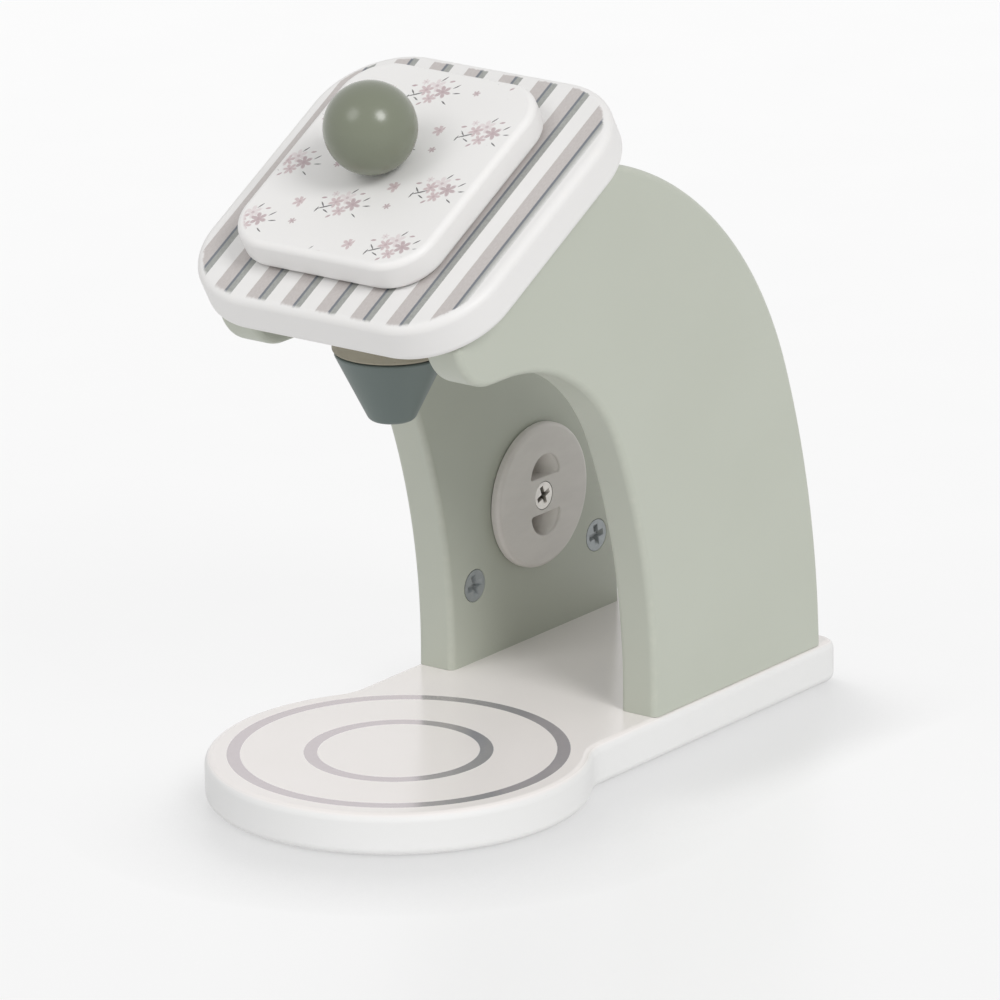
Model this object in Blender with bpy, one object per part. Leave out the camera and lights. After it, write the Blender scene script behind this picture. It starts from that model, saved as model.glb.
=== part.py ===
"""Toy coffee maker: a wooden play machine with a lift-off capsule lid and a turning dial.

The origin is the middle of the round cup stand, on the floor under the nozzle. The front is -Y,
the back is +Y and up is +Z. The machine's dial is on its -X side. All sizes are in metres.
"""
import math

import bmesh
import bpy
from mathutils import Matrix, Vector

# Fits and facets
seat_gap = 0.0003              # between faces that rest on each other
hole_gap = 0.0003              # round a screw, dowel or hub in its hole
cut_overrun = 0.002            # how far a cutter runs out past the face that it opens
arc_sagitta = 0.00004          # how far a facet may lie inside the true curve
fine_sagitta = 0.00008         # the same on small turned parts

# Base board: a round cup stand in front and a straight tail under the side panels
disc_radius = 0.0525
base_thickness = 0.012
tail_half_width = 0.042
tail_reach = 0.147             # from the middle of the disc to the rear end
tail_corner_radius = 0.0055
waist_radius = 0.015           # hollow fillet between disc and tail
base_rounding = 0.0025

# Side panels, drawn from the side: y runs back and z up
panel_gap = 0.058              # between the inner faces
panel_thickness = 0.012
panel_rounding = 0.002
foot_front = 0.0613            # front edge of the foot
foot_rear = 0.139              # rear edge of the foot
leg_radius = 0.185             # slow curve of the front edge above the foot
leg_centre_rise = 0.008        # its centre above the base board
leg_sweep = math.radians(23.0)
arch_radius = 0.052            # curve over the cup
nose_flat = 0.0072             # level stretch from the top of the arch to the nose
nose_radius = 0.015
back_low_radius = 0.2726       # slow curve of the rear edge above the foot
back_low_drop = 0.004          # its centre below the base board's top
back_low_sweep = math.radians(19.3)
back_top_reach = 0.0476        # where the rear curve meets the plate, along the slope

# Top plate, on the slanted tops of the panels
plate_tilt = math.radians(29.0)
head_depth = 0.0267            # wood between the top of the arch and the plate, over the nozzle
plate_width = 0.0963
plate_length = 0.0988
plate_thickness = 0.012
plate_corner_radius = 0.024
plate_rounding = 0.0025
plate_shift = 0.0140           # how far up the slope its middle lies from the nozzle

# Lid: tile, plug and ball on one screw; the plug hangs in the plate's capsule hole
lid_offset = -0.0022           # the lid's middle from the plate's middle, across
capsule_hole_radius = 0.023
plug_clearance = 0.0012
plug_depth = 0.010
plug_rounding = 0.001
tile_width = 0.0637
tile_length = 0.0737
tile_thickness = 0.009
tile_corner_radius = 0.0134
tile_rounding = 0.002
ball_radius = 0.0127
ball_flat = 0.0006             # depth of the flat on which the ball sits

# Bridge board between the panels, and the nozzle under it
bridge_rise = 0.0073           # its underside above the top of the arch
bridge_thickness = 0.012
bridge_length = 0.048
bridge_rounding = 0.001
bridge_headroom = 0.0006       # under the plate, at the bridge's front edge
collar_radius = 0.0158
collar_height = 0.0058
collar_rounding = 0.0008
cone_top_radius = 0.0152
cone_tip_radius = 0.0061
cone_height = 0.0192
cone_top_rounding = 0.0006
cone_tip_rounding = 0.0022

# Dial: a plastic hub through the left panel with a wooden knob outside
dial_height = 0.0415           # above the base board
flange_radius = 0.02065
flange_thickness = 0.003
flange_rounding = 0.0009
hub_radius = 0.014
well_radius = 0.0064           # each well is half a round
well_depth = 0.014
well_bar = 0.0106              # width of the bar between the two wells
well_shift = 0.001             # how far the wells lie behind the dial's axis
back_plate_width = 0.066
back_plate_height = 0.050
back_plate_thickness = 0.004
back_plate_drop = 0.0045       # its middle below the dial's middle
back_plate_corner_radius = 0.012
back_plate_rounding = 0.001
knob_radius = 0.018
knob_thickness = 0.007
knob_rounding = 0.0015
grip_width = 0.009
grip_length = 0.033
grip_height = 0.0075
grip_rounding = 0.0015

# Screws and dowels
back_screw_pitch = 0.056
back_screw_drop = 0.0195       # below the dial's middle
head_recess = 0.0002           # how deep a screw's head lies under the face
recess_arm_share = 0.62        # reach of the cross recess, as a share of the head's radius
recess_width_share = 0.24
recess_depth_share = 0.55
zinc_head_radius = 0.0044
zinc_shank_radius = 0.002
back_screw_length = 0.015
base_screw_length = 0.040
dial_head_radius = 0.0038
dial_shank_radius = 0.00175
dial_screw_length = 0.030
long_head_radius = 0.0038
long_shank_radius = 0.00175
knob_screw_length = 0.030
nozzle_screw_length = 0.030
screw_point_share = 0.6        # length of the point, as a share of the shank's diameter
dowel_radius = 0.003
dowel_chamfer = 0.0005
plate_dowel_depth = 0.010      # into the panel
plate_dowel_rise = 0.008       # into the plate
bridge_dowel_depth = 0.008     # into the panel
bridge_dowel_reach = 0.012     # into the bridge
bridge_dowel_inset = 0.010     # of the rear one, from the bridge's rear edge
dowel_spacing = 0.0085         # between the front bridge dowel and the end of the plate's
plate_dowel_shares = (0.12, 0.80)    # places along the panel's slanted top
base_screw_shares = (0.25, 0.75)     # places along the foot

# Finishes: colour, roughness, metallic
finishes = {
    "white_paint": ((0.78, 0.77, 0.75), 0.38, 0.0),
    "sage_paint": ((0.50, 0.54, 0.46), 0.45, 0.0),
    "moss_paint": ((0.25, 0.28, 0.21), 0.40, 0.0),
    "slate_paint": ((0.13, 0.165, 0.16), 0.45, 0.0),
    "plain_wood": ((0.60, 0.50, 0.36), 0.60, 0.0),
    "grey_plastic": ((0.46, 0.43, 0.40), 0.42, 0.0),
    "zinc_steel": ((0.42, 0.45, 0.50), 0.38, 1.0),
    "bright_steel": ((0.72, 0.70, 0.66), 0.28, 1.0),
}

# Levels and planes that several pieces share
base_top = base_thickness
panel_floor = base_top + seat_gap
panel_inner = panel_gap / 2
panel_outer = panel_inner + panel_thickness
panel_middle = panel_inner + panel_thickness / 2
slope = Vector((0, math.cos(plate_tilt), math.sin(plate_tilt)))
slope_normal = Vector((0, -math.sin(plate_tilt), math.cos(plate_tilt)))

for old_object in list(bpy.data.objects):
    bpy.data.objects.remove(old_object, do_unlink=True)


def facet_angle(radius, sagitta=arc_sagitta):
    """The angle of one facet that stays within the sagitta of a circle."""
    return 2 * math.acos(1 - sagitta / radius)


def round_sides(radius, sagitta=fine_sagitta):
    """An even number of sides for a full circle."""
    return 4 * math.ceil(math.tau / facet_angle(radius, sagitta) / 4)


def arc(centre, radius, start, end, sagitta=arc_sagitta):
    """Points along an arc, both ends included, from one angle to another."""
    steps = max(2, math.ceil(abs(end - start) / facet_angle(radius, sagitta)))
    points = []
    for index in range(steps + 1):
        angle = start + (end - start) * index / steps
        points.append((centre[0] + radius * math.cos(angle), centre[1] + radius * math.sin(angle)))
    return points


def rounded_rectangle(width, length, radius):
    """Outline of a rectangle with round corners, about its middle."""
    outline = []
    quarters = ((1, 1), (-1, 1), (-1, -1), (1, -1))
    for index, (side, end) in enumerate(quarters):
        centre = (side * (width / 2 - radius), end * (length / 2 - radius))
        outline += arc(centre, radius, index * math.pi / 2, (index + 1) * math.pi / 2)
    return outline


def without_doubles(outline):
    """Drop a point that repeats the one before it."""
    kept = []
    for point in outline:
        if not kept or math.dist(point, kept[-1]) > hole_gap / 100:
            kept.append(point)
    if math.dist(kept[0], kept[-1]) <= hole_gap / 100:
        kept.pop()
    return kept


def finish(name, finish_name):
    """The piece's own material, in one of the finishes above."""
    colour, roughness, metallic = finishes[finish_name]
    material = bpy.data.materials.new(name + "_" + finish_name)
    material.diffuse_color = (*colour, 1.0)
    material.use_nodes = True
    shader = material.node_tree.nodes["Principled BSDF"]
    shader.inputs["Base Color"].default_value = (*colour, 1.0)
    shader.inputs["Roughness"].default_value = roughness
    shader.inputs["Metallic"].default_value = metallic
    return material


def add_object(name, mesh, placement, parent=None):
    """Link an object for a mesh at a placement, under its parent if it has one."""
    thing = bpy.data.objects.new(name, mesh)
    bpy.context.scene.collection.objects.link(thing)
    if parent is not None:
        thing.parent = parent
        placement = parent.matrix_world.inverted() @ placement
    thing.matrix_basis = placement
    bpy.context.view_layer.update()
    return thing


def add_piece(name, mesh, placement, finish_name, parent=None):
    """A named piece of the toy, smooth where it is round."""
    piece = add_object(name, mesh, placement, parent)
    if not mesh.materials:
        mesh.materials.append(finish(name, finish_name))
    mesh.shade_smooth()
    mesh.set_sharp_from_angle(angle=math.radians(30))
    return piece


def add_cutter(name, mesh, placement, parent=None):
    """A hidden solid that is taken out of the pieces that it is given to."""
    cutter = add_object(name, mesh, placement, parent)
    cutter.hide_render = True
    cutter.display_type = "WIRE"
    return cutter


def cut(piece, cutter):
    """Take the cutter's solid out of the piece."""
    modifier = piece.modifiers.new(cutter.name, "BOOLEAN")
    modifier.operation = "DIFFERENCE"
    modifier.solver = "EXACT"
    modifier.object = cutter


def mesh_from(bm, name):
    """Turn a finished bmesh into a mesh with its faces outwards."""
    bmesh.ops.recalc_face_normals(bm, faces=bm.faces)
    mesh = bpy.data.meshes.new(name)
    bm.to_mesh(mesh)
    bm.free()
    return mesh


def prism(name, outline, thickness, rounding=0, segments=3, square_below=None):
    """A board: the outline from z = 0 up to its thickness, with both rims rounded.

    A rim along the bottom of the outline, at the level square_below, stays square.
    """
    bm = bmesh.new()
    ring = [bm.verts.new((x, y, 0)) for x, y in without_doubles(outline)]
    bottom = bm.faces.new(ring)
    extruded = bmesh.ops.extrude_face_region(bm, geom=[bottom], use_keep_orig=True)
    raised = [item for item in extruded["geom"] if isinstance(item, bmesh.types.BMVert)]
    bmesh.ops.translate(bm, verts=raised, vec=(0, 0, thickness))
    if rounding:
        rims = [edge for edge in bm.edges if len({round(v.co.z, 6) for v in edge.verts}) == 1]
        if square_below is not None:
            rims = [edge for edge in rims if max(v.co.y for v in edge.verts) > square_below + hole_gap]
        bmesh.ops.bevel(bm, geom=rims, offset=rounding, segments=segments, profile=0.5,
                        affect="EDGES", clamp_overlap=True)
    return mesh_from(bm, name)


def turned(name, profile, sides):
    """A turned solid: the profile's (radius, height) points spun about z."""
    bm = bmesh.new()
    line = [bm.verts.new((radius, 0, height)) for radius, height in profile]
    edges = [bm.edges.new(pair) for pair in zip(line, line[1:])]
    bmesh.ops.spin(bm, geom=line + edges, cent=(0, 0, 0), axis=(0, 0, 1), angle=math.tau,
                   steps=sides, use_merge=True)
    bmesh.ops.remove_doubles(bm, verts=bm.verts, dist=hole_gap / 100)
    return mesh_from(bm, name)


def facing(point, direction):
    """A placement with its z axis along a direction."""
    turn = Vector(direction).to_track_quat("Z", "Y").to_matrix().to_4x4()
    return Matrix.Translation(point) @ turn


def side_place(x):
    """A placement whose x, y and z run along the world's Y, Z and X, at a level of X."""
    return Matrix(((0, 0, 1, x), (1, 0, 0, 0), (0, 1, 0, 0), (0, 0, 0, 1)))


def slope_place(across, along, above):
    """A placement on the slope: x across, y up the slope, z off the plate's underside."""
    place = plate_seat + slope * along + slope_normal * above
    place.x = across
    return Matrix.Translation(place) @ Matrix.Rotation(plate_tilt, 4, "X")


class Screw:
    """A countersunk cross head screw, its head's face at z = 0 and its point at -z."""

    def __init__(self, head_radius, shank_radius, length):
        self.head = head_radius
        self.shank = shank_radius
        self.length = length
        self.sides = round_sides(head_radius)

    def hole(self, name):
        """The clearance hole, with its countersink running out of the face."""
        wide = self.head + hole_gap + head_recess
        narrow = self.shank + hole_gap
        profile = [
            (0, cut_overrun),
            (wide + cut_overrun, cut_overrun),
            (narrow, narrow - wide),
            (narrow, -self.length - hole_gap),
            (0, -self.length - hole_gap),
        ]
        return turned(name, profile, self.sides)

    def solid(self, name):
        """The screw itself, with the cross recess cut into its head."""
        neck = -head_recess - (self.head - self.shank)
        shoulder = -self.length + 2 * self.shank * screw_point_share
        profile = [
            (0, -head_recess),
            (self.head, -head_recess),
            (self.shank, neck),
            (self.shank, shoulder),
            (0, -self.length),
        ]
        blank = add_object(name + "_blank", turned(name, profile, self.sides), Matrix())
        arm = self.head * recess_arm_share
        width = self.head * recess_width_share
        depth = self.head * recess_depth_share
        outline = []
        for turn in range(4):
            angle = turn * math.pi / 2
            for x, y in ((arm, -width / 2), (arm, width / 2), (width / 2, width / 2)):
                outline.append((x * math.cos(angle) - y * math.sin(angle),
                                x * math.sin(angle) + y * math.cos(angle)))
        recess = add_object(name + "_recess", prism(name + "_recess", outline, depth + cut_overrun),
                            Matrix.Translation((0, 0, -head_recess - depth)))
        cut(blank, recess)
        bpy.context.view_layer.update()
        finished = blank.evaluated_get(bpy.context.evaluated_depsgraph_get())
        mesh = bpy.data.meshes.new_from_object(finished)
        mesh.name = name
        bpy.data.objects.remove(blank)
        bpy.data.objects.remove(recess)
        return mesh


def add_screw(name, screw, mesh, place, finish_name, pieces, parent=None):
    """Put in a screw, its head's face at the place, and drill the pieces that it passes."""
    solid = add_piece(name, mesh, place, finish_name, parent)
    hole = add_cutter(name + "_hole", screw.hole(name + "_hole"), place, parent)
    for piece in pieces:
        cut(piece, hole)
    return solid


def dowel_profile(length, radius, chamfer):
    """Half outline of a plain dowel, from z = 0 up."""
    return [
        (0, 0),
        (radius - chamfer, 0),
        (radius, chamfer),
        (radius, length - chamfer),
        (radius - chamfer, length),
        (0, length),
    ]


def add_dowel(name, place, length, pieces):
    """Glue in a dowel that starts at the place and runs along its z, and drill its pieces."""
    sides = round_sides(dowel_radius)
    mesh = turned(name, dowel_profile(length, dowel_radius, dowel_chamfer), sides)
    add_piece(name, mesh, place, "plain_wood")
    wide = dowel_radius + hole_gap
    profile = [(0, -hole_gap), (wide, -hole_gap), (wide, length + hole_gap), (0, length + hole_gap)]
    hole = add_cutter(name + "_hole", turned(name + "_hole", profile, sides), place)
    for piece in pieces:
        cut(piece, hole)


# Base board
def base_outline():
    """The disc, a hollow fillet on each side, and the tail with its round rear corners."""
    fillet_x = tail_half_width + waist_radius
    fillet_y = math.sqrt((disc_radius + waist_radius) ** 2 - fillet_x ** 2)
    lean = math.atan2(fillet_y, fillet_x)
    corner = (tail_half_width - tail_corner_radius, tail_reach - tail_corner_radius)
    outline = arc((fillet_x, fillet_y), waist_radius, math.pi + lean, math.pi)
    outline += arc(corner, tail_corner_radius, 0, math.pi / 2)
    outline += arc((-corner[0], corner[1]), tail_corner_radius, math.pi / 2, math.pi)
    outline += arc((-fillet_x, fillet_y), waist_radius, 0, -lean)
    outline += arc((0, 0), disc_radius, math.pi - lean, math.tau + lean)
    return outline


base_board = add_piece("base_board", prism("base_board", base_outline(), base_thickness, base_rounding),
                       Matrix(), "white_paint")

# The panels' front edge: a slow curve up the leg, the arch over the cup, and the nose
leg_centre = Vector((foot_front - leg_radius, base_top + leg_centre_rise))
sweep_point = Vector((math.cos(leg_sweep), math.sin(leg_sweep)))
arch_centre = leg_centre + sweep_point * (leg_radius - arch_radius)
arch_top = arch_centre.y + arch_radius
nose_centre = Vector((arch_centre.x - nose_flat, arch_top + nose_radius))

# The slope on which the plate lies, from the point over the nozzle
plate_seat = Vector((0, 0, arch_top + head_depth))


def seat_height(y, gap):
    """Height of the slanted seat at a y, the gap measured square to the plate."""
    return plate_seat.z + y * math.tan(plate_tilt) - gap / math.cos(plate_tilt)


def panel_outline():
    """The panel from the side, round from the front of its foot."""
    lift = math.asin((panel_floor - leg_centre.y) / leg_radius)
    outline = arc(leg_centre, leg_radius, lift, leg_sweep)
    outline += arc(arch_centre, arch_radius, leg_sweep, math.pi / 2)
    # Angle at which the nose's curve meets the seat, or the level of its front
    reach = (seat_height(nose_centre.x, seat_gap) - nose_centre.y) * math.cos(plate_tilt) / nose_radius
    nose_end = math.pi + plate_tilt - math.asin(max(-1, min(math.sin(plate_tilt), reach)))
    outline += arc(nose_centre, nose_radius, 3 * math.pi / 2, nose_end)
    front_y = nose_centre.x + nose_radius * math.cos(nose_end)
    outline.append((front_y, seat_height(front_y, seat_gap)))
    rear_y = back_top_reach * math.cos(plate_tilt)
    rear_top = Vector((rear_y, seat_height(rear_y, seat_gap)))
    low_centre = Vector((foot_rear - back_low_radius, base_top - back_low_drop))
    turn = Vector((math.cos(back_low_sweep), math.sin(back_low_sweep)))
    join = low_centre + turn * back_low_radius
    back_top_radius = (rear_top - join).length_squared / (2 * turn.dot(join - rear_top))
    top_centre = join - turn * back_top_radius
    top_angle = math.atan2(rear_top.y - top_centre.y, rear_top.x - top_centre.x)
    outline += arc(top_centre, back_top_radius, top_angle, back_low_sweep)
    floor_angle = math.asin((panel_floor - low_centre.y) / back_low_radius)
    outline += arc(low_centre, back_low_radius, back_low_sweep, floor_angle)
    return outline, front_y, rear_y


outline, seat_front, seat_rear = panel_outline()
panel_mesh = prism("left_side_panel", outline, panel_thickness, panel_rounding, 3, panel_floor)
left_panel = add_piece("left_side_panel", panel_mesh, side_place(-panel_outer), "sage_paint")
panel_mesh = prism("right_side_panel", outline, panel_thickness, panel_rounding, 3, panel_floor)
right_panel = add_piece("right_side_panel", panel_mesh, side_place(panel_inner), "sage_paint")
panels = {"left": (-1, left_panel), "right": (1, right_panel)}

# Top plate with its capsule hole
top_plate = add_piece("top_plate",
                      prism("top_plate", rounded_rectangle(plate_width, plate_length, plate_corner_radius),
                            plate_thickness, plate_rounding),
                      slope_place(0, plate_shift, 0), "white_paint")
hole_profile = [
    (0, -cut_overrun),
    (capsule_hole_radius, -cut_overrun),
    (capsule_hole_radius, plate_thickness + cut_overrun),
    (0, plate_thickness + cut_overrun),
]
capsule_hole = add_cutter("capsule_hole",
                          turned("capsule_hole", hole_profile, round_sides(capsule_hole_radius)),
                          slope_place(lid_offset, plate_shift, 0))
cut(top_plate, capsule_hole)

# Bridge board, its ends against the inner faces of the panels
bridge_bottom = arch_top + bridge_rise
bridge_top = bridge_bottom + bridge_thickness
bridge_front = (bridge_top + bridge_headroom - plate_seat.z) / math.tan(plate_tilt)
bridge_rear = bridge_front + bridge_length
bridge_width = panel_gap - 2 * seat_gap
bridge_outline = [
    (-bridge_width / 2, bridge_front),
    (bridge_width / 2, bridge_front),
    (bridge_width / 2, bridge_rear),
    (-bridge_width / 2, bridge_rear),
]
bridge_board = add_piece("bridge_board",
                         prism("bridge_board", bridge_outline, bridge_thickness, bridge_rounding, 1),
                         Matrix.Translation((0, 0, bridge_bottom)), "white_paint")

# Nozzle: a plain wooden collar and a painted cone, hung from the bridge on one screw
long_screw = Screw(long_head_radius, long_shank_radius, nozzle_screw_length)
collar_bottom = bridge_bottom - seat_gap - collar_height
collar_profile = [(0, 0)]
collar_profile += arc((collar_radius - collar_rounding, collar_rounding), collar_rounding,
                      -math.pi / 2, 0, fine_sagitta)
collar_profile += [(collar_radius, collar_height), (0, collar_height)]
collar_sides = round_sides(collar_radius, arc_sagitta)
nozzle_collar = add_piece("nozzle_collar", turned("nozzle_collar", collar_profile, collar_sides),
                          Matrix.Translation((0, 0, collar_bottom)), "plain_wood")

cone_top = collar_bottom - seat_gap
cone_lean = math.atan2(cone_top_radius - cone_tip_radius, cone_height)
tip_turn = cone_tip_rounding * math.tan((math.pi / 2 + cone_lean) / 2 - cone_lean)
cone_profile = [(0, -cone_height)]
cone_profile += arc((cone_tip_radius - tip_turn, -cone_height + cone_tip_rounding), cone_tip_rounding,
                    -math.pi / 2, -cone_lean, fine_sagitta)
cone_profile += arc((cone_top_radius - cone_top_rounding, -cone_top_rounding), cone_top_rounding,
                    -cone_lean, math.pi / 2, fine_sagitta)
cone_profile += [(0, 0)]
nozzle_cone = add_piece("nozzle_cone", turned("nozzle_cone", cone_profile, collar_sides),
                        Matrix.Translation((0, 0, cone_top)), "slate_paint")
add_screw("nozzle_screw", long_screw, long_screw.solid("nozzle_screw"),
          Matrix.Translation((0, 0, bridge_top)), "zinc_steel",
          (bridge_board, nozzle_collar, nozzle_cone))

# Lid: everything on it slides off along the plate's normal
tile_rest = plate_thickness + seat_gap
lid_axis = add_object("lid_axis", None, slope_place(lid_offset, plate_shift, tile_rest))
lid_tile = add_piece("lid_tile",
                     prism("lid_tile", rounded_rectangle(tile_width, tile_length, tile_corner_radius),
                           tile_thickness, tile_rounding),
                     slope_place(lid_offset, plate_shift, tile_rest), "white_paint", lid_axis)
plug_radius = capsule_hole_radius - plug_clearance
plug_profile = [(0, 0)]
plug_profile += arc((plug_radius - plug_rounding, plug_rounding), plug_rounding, -math.pi / 2, 0,
                    fine_sagitta)
plug_profile += [(plug_radius, plug_depth), (0, plug_depth)]
plug_bottom = tile_rest - seat_gap - plug_depth
lid_plug = add_piece("lid_plug", turned("lid_plug", plug_profile, round_sides(plug_radius)),
                     slope_place(lid_offset, plate_shift, plug_bottom), "plain_wood", lid_axis)

ball_lift = ball_radius - ball_flat
ball_low_angle = -math.asin(ball_lift / ball_radius)
ball_profile = [(0, -ball_lift)]
ball_profile += arc((0, 0), ball_radius, ball_low_angle, math.pi / 2)
ball_profile[-1] = (0, ball_radius)
ball_height = tile_rest + tile_thickness + seat_gap + ball_lift
ball_knob = add_piece("ball_knob", turned("ball_knob", ball_profile, round_sides(ball_radius, arc_sagitta)),
                      slope_place(lid_offset, plate_shift, ball_height), "moss_paint", lid_axis)
knob_screw = Screw(long_head_radius, long_shank_radius, knob_screw_length)
from_below = slope_place(lid_offset, plate_shift, plug_bottom) @ Matrix.Rotation(math.pi, 4, "X")
add_screw("lid_knob_screw", knob_screw, knob_screw.solid("lid_knob_screw"), from_below, "zinc_steel",
          (lid_plug, lid_tile, ball_knob), lid_axis)

# Dial: its frame has z towards the middle of the machine and y up
dial_y = (foot_front + foot_rear) / 2
dial_z = base_top + dial_height
inner_face = -panel_inner


def dial_place(x, y=dial_y, z=dial_z):
    """A placement beside the left panel: its z along +X, its y up."""
    return Matrix.Translation((0, y, z)) @ side_place(x)


dial_axis = add_object("dial_axis", None, dial_place(inner_face))
hub_length = panel_thickness + seat_gap + back_plate_thickness
hub_profile = [(0, -hub_length), (hub_radius, -hub_length), (hub_radius, seat_gap), (flange_radius, seat_gap)]
hub_profile += arc((flange_radius - flange_rounding, flange_thickness - flange_rounding), flange_rounding,
                   0, math.pi / 2, fine_sagitta)
hub_profile += [(0, flange_thickness)]
dial_hub = add_piece("dial_hub", turned("dial_hub", hub_profile, round_sides(flange_radius, arc_sagitta)),
                     dial_place(inner_face), "grey_plastic", dial_axis)

for well_name, side in (("upper_well", 1), ("lower_well", -1)):
    well_outline = arc((well_shift, side * well_bar / 2), well_radius, 0, side * math.pi)
    well = add_cutter(well_name, prism(well_name, well_outline, well_depth + cut_overrun),
                      dial_place(inner_face) @ Matrix.Translation((0, 0, flange_thickness - well_depth)),
                      dial_axis)
    cut(dial_hub, well)

bore_profile = [
    (0, cut_overrun),
    (hub_radius + hole_gap, cut_overrun),
    (hub_radius + hole_gap, -hub_length - cut_overrun),
    (0, -hub_length - cut_overrun),
]
dial_bore = add_cutter("dial_bore", turned("dial_bore", bore_profile, round_sides(hub_radius)),
                       dial_place(inner_face))
cut(left_panel, dial_bore)

plate_back = -panel_outer - seat_gap - back_plate_thickness
dial_back_plate = add_piece("dial_back_plate",
                            prism("dial_back_plate",
                                  rounded_rectangle(back_plate_width, back_plate_height,
                                                    back_plate_corner_radius),
                                  back_plate_thickness, back_plate_rounding, 2),
                            dial_place(plate_back, z=dial_z - back_plate_drop), "white_paint")
cut(dial_back_plate, dial_bore)

knob_back = plate_back - seat_gap
knob_profile = [(0, 0), (knob_radius, 0)]
knob_profile += arc((knob_radius - knob_rounding, knob_thickness - knob_rounding), knob_rounding,
                    0, math.pi / 2, fine_sagitta)
knob_profile += [(0, knob_thickness)]
outwards = dial_place(knob_back) @ Matrix.Rotation(math.pi, 4, "Y")
dial_knob = add_piece("dial_knob", turned("dial_knob", knob_profile, round_sides(knob_radius, arc_sagitta)),
                      outwards, "slate_paint", dial_axis)
grip_outline = rounded_rectangle(grip_width, grip_length, grip_width / 2 - grip_rounding / 2)
grip_sunk = knob_thickness / 2
grip = add_cutter("grip", prism("grip", grip_outline, grip_height + grip_sunk, grip_rounding, 2),
                  outwards @ Matrix.Translation((0, 0, knob_thickness - grip_sunk)), dial_axis)
grip_join = dial_knob.modifiers.new("grip", "BOOLEAN")
grip_join.operation = "UNION"
grip_join.solver = "EXACT"
grip_join.object = grip
dial_screw = Screw(dial_head_radius, dial_shank_radius, dial_screw_length)
add_screw("dial_screw", dial_screw, dial_screw.solid("dial_screw"),
          dial_place(inner_face + flange_thickness), "bright_steel", (dial_hub, dial_knob), dial_axis)

# The two zinc screws that hold the dial's back plate from inside
back_screw = Screw(zinc_head_radius, zinc_shank_radius, back_screw_length)
for screw_name, side in (("back_plate_screw_front", -1), ("back_plate_screw_rear", 1)):
    add_screw(screw_name, back_screw, back_screw.solid(screw_name),
              dial_place(inner_face, dial_y + side * back_screw_pitch / 2, dial_z - back_screw_drop),
              "zinc_steel", (left_panel, dial_back_plate))

# Screws from below through the base board into the feet
base_screw = Screw(zinc_head_radius, zinc_shank_radius, base_screw_length)
foot_length = foot_rear - foot_front
for panel_name, (side, panel) in panels.items():
    for end_name, share in zip(("front", "rear"), base_screw_shares):
        screw_name = "base_screw_" + panel_name + "_" + end_name
        point = (side * panel_middle, foot_front + foot_length * share, 0)
        add_screw(screw_name, base_screw, base_screw.solid(screw_name), facing(point, (0, 0, -1)),
                  "zinc_steel", (base_board, panel))

# Dowels between the panels and the plate, and between the panels and the bridge
seat_start = seat_front / math.cos(plate_tilt)
seat_length = (seat_rear - seat_front) / math.cos(plate_tilt)
for panel_name, (side, panel) in panels.items():
    dowel_ends = []
    for end_name, share in zip(("front", "rear"), plate_dowel_shares):
        place = slope_place(side * panel_middle, seat_start + seat_length * share, -plate_dowel_depth)
        dowel_ends.append(place.translation.y)
        add_dowel("plate_dowel_" + panel_name + "_" + end_name, place,
                  plate_dowel_depth + plate_dowel_rise, (panel, top_plate))
    bridge_dowels = (("front", dowel_ends[0] + dowel_spacing),
                     ("rear", bridge_rear - bridge_dowel_inset))
    for end_name, dowel_y in bridge_dowels:
        start = (side * (panel_inner - bridge_dowel_reach), dowel_y, (bridge_bottom + bridge_top) / 2)
        add_dowel("bridge_dowel_" + panel_name + "_" + end_name, facing(start, (side, 0, 0)),
                  bridge_dowel_reach + bridge_dowel_depth, (panel, bridge_board))
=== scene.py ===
from math import asin, atan2, ceil, cos, pi, radians, sin, sqrt, tan, tau

import bpy
from mathutils import Matrix, Vector
from mathutils.geometry import tessellate_polygon


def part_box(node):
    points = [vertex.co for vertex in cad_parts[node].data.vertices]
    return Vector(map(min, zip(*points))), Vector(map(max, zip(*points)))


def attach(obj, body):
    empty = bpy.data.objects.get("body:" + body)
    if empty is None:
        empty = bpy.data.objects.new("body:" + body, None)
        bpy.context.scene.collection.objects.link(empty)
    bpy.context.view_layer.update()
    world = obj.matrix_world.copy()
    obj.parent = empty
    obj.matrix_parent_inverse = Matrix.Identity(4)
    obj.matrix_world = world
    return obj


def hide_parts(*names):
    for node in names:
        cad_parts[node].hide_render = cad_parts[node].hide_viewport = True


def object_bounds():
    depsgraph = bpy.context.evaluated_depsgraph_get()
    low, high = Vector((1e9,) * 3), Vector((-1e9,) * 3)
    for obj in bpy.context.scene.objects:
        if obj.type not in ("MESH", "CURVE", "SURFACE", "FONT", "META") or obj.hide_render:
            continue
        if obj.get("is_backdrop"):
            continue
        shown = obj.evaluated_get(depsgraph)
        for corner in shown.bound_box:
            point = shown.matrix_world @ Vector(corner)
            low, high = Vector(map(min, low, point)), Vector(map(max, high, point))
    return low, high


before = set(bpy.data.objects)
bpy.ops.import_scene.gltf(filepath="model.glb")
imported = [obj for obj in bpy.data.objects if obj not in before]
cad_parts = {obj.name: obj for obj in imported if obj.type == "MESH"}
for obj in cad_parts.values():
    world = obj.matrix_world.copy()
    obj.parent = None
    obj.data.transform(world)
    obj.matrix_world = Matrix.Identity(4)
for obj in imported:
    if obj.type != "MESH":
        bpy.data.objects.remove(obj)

cad_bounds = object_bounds()

# ---------------------------------------------------------------- Base board
# One 12 mm board, sawn to a round cup stand with a straight tail and rounded with a router.
# It is sprayed warm white, and two grey rings are printed on the stand in a faintly pearly ink.


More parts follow.
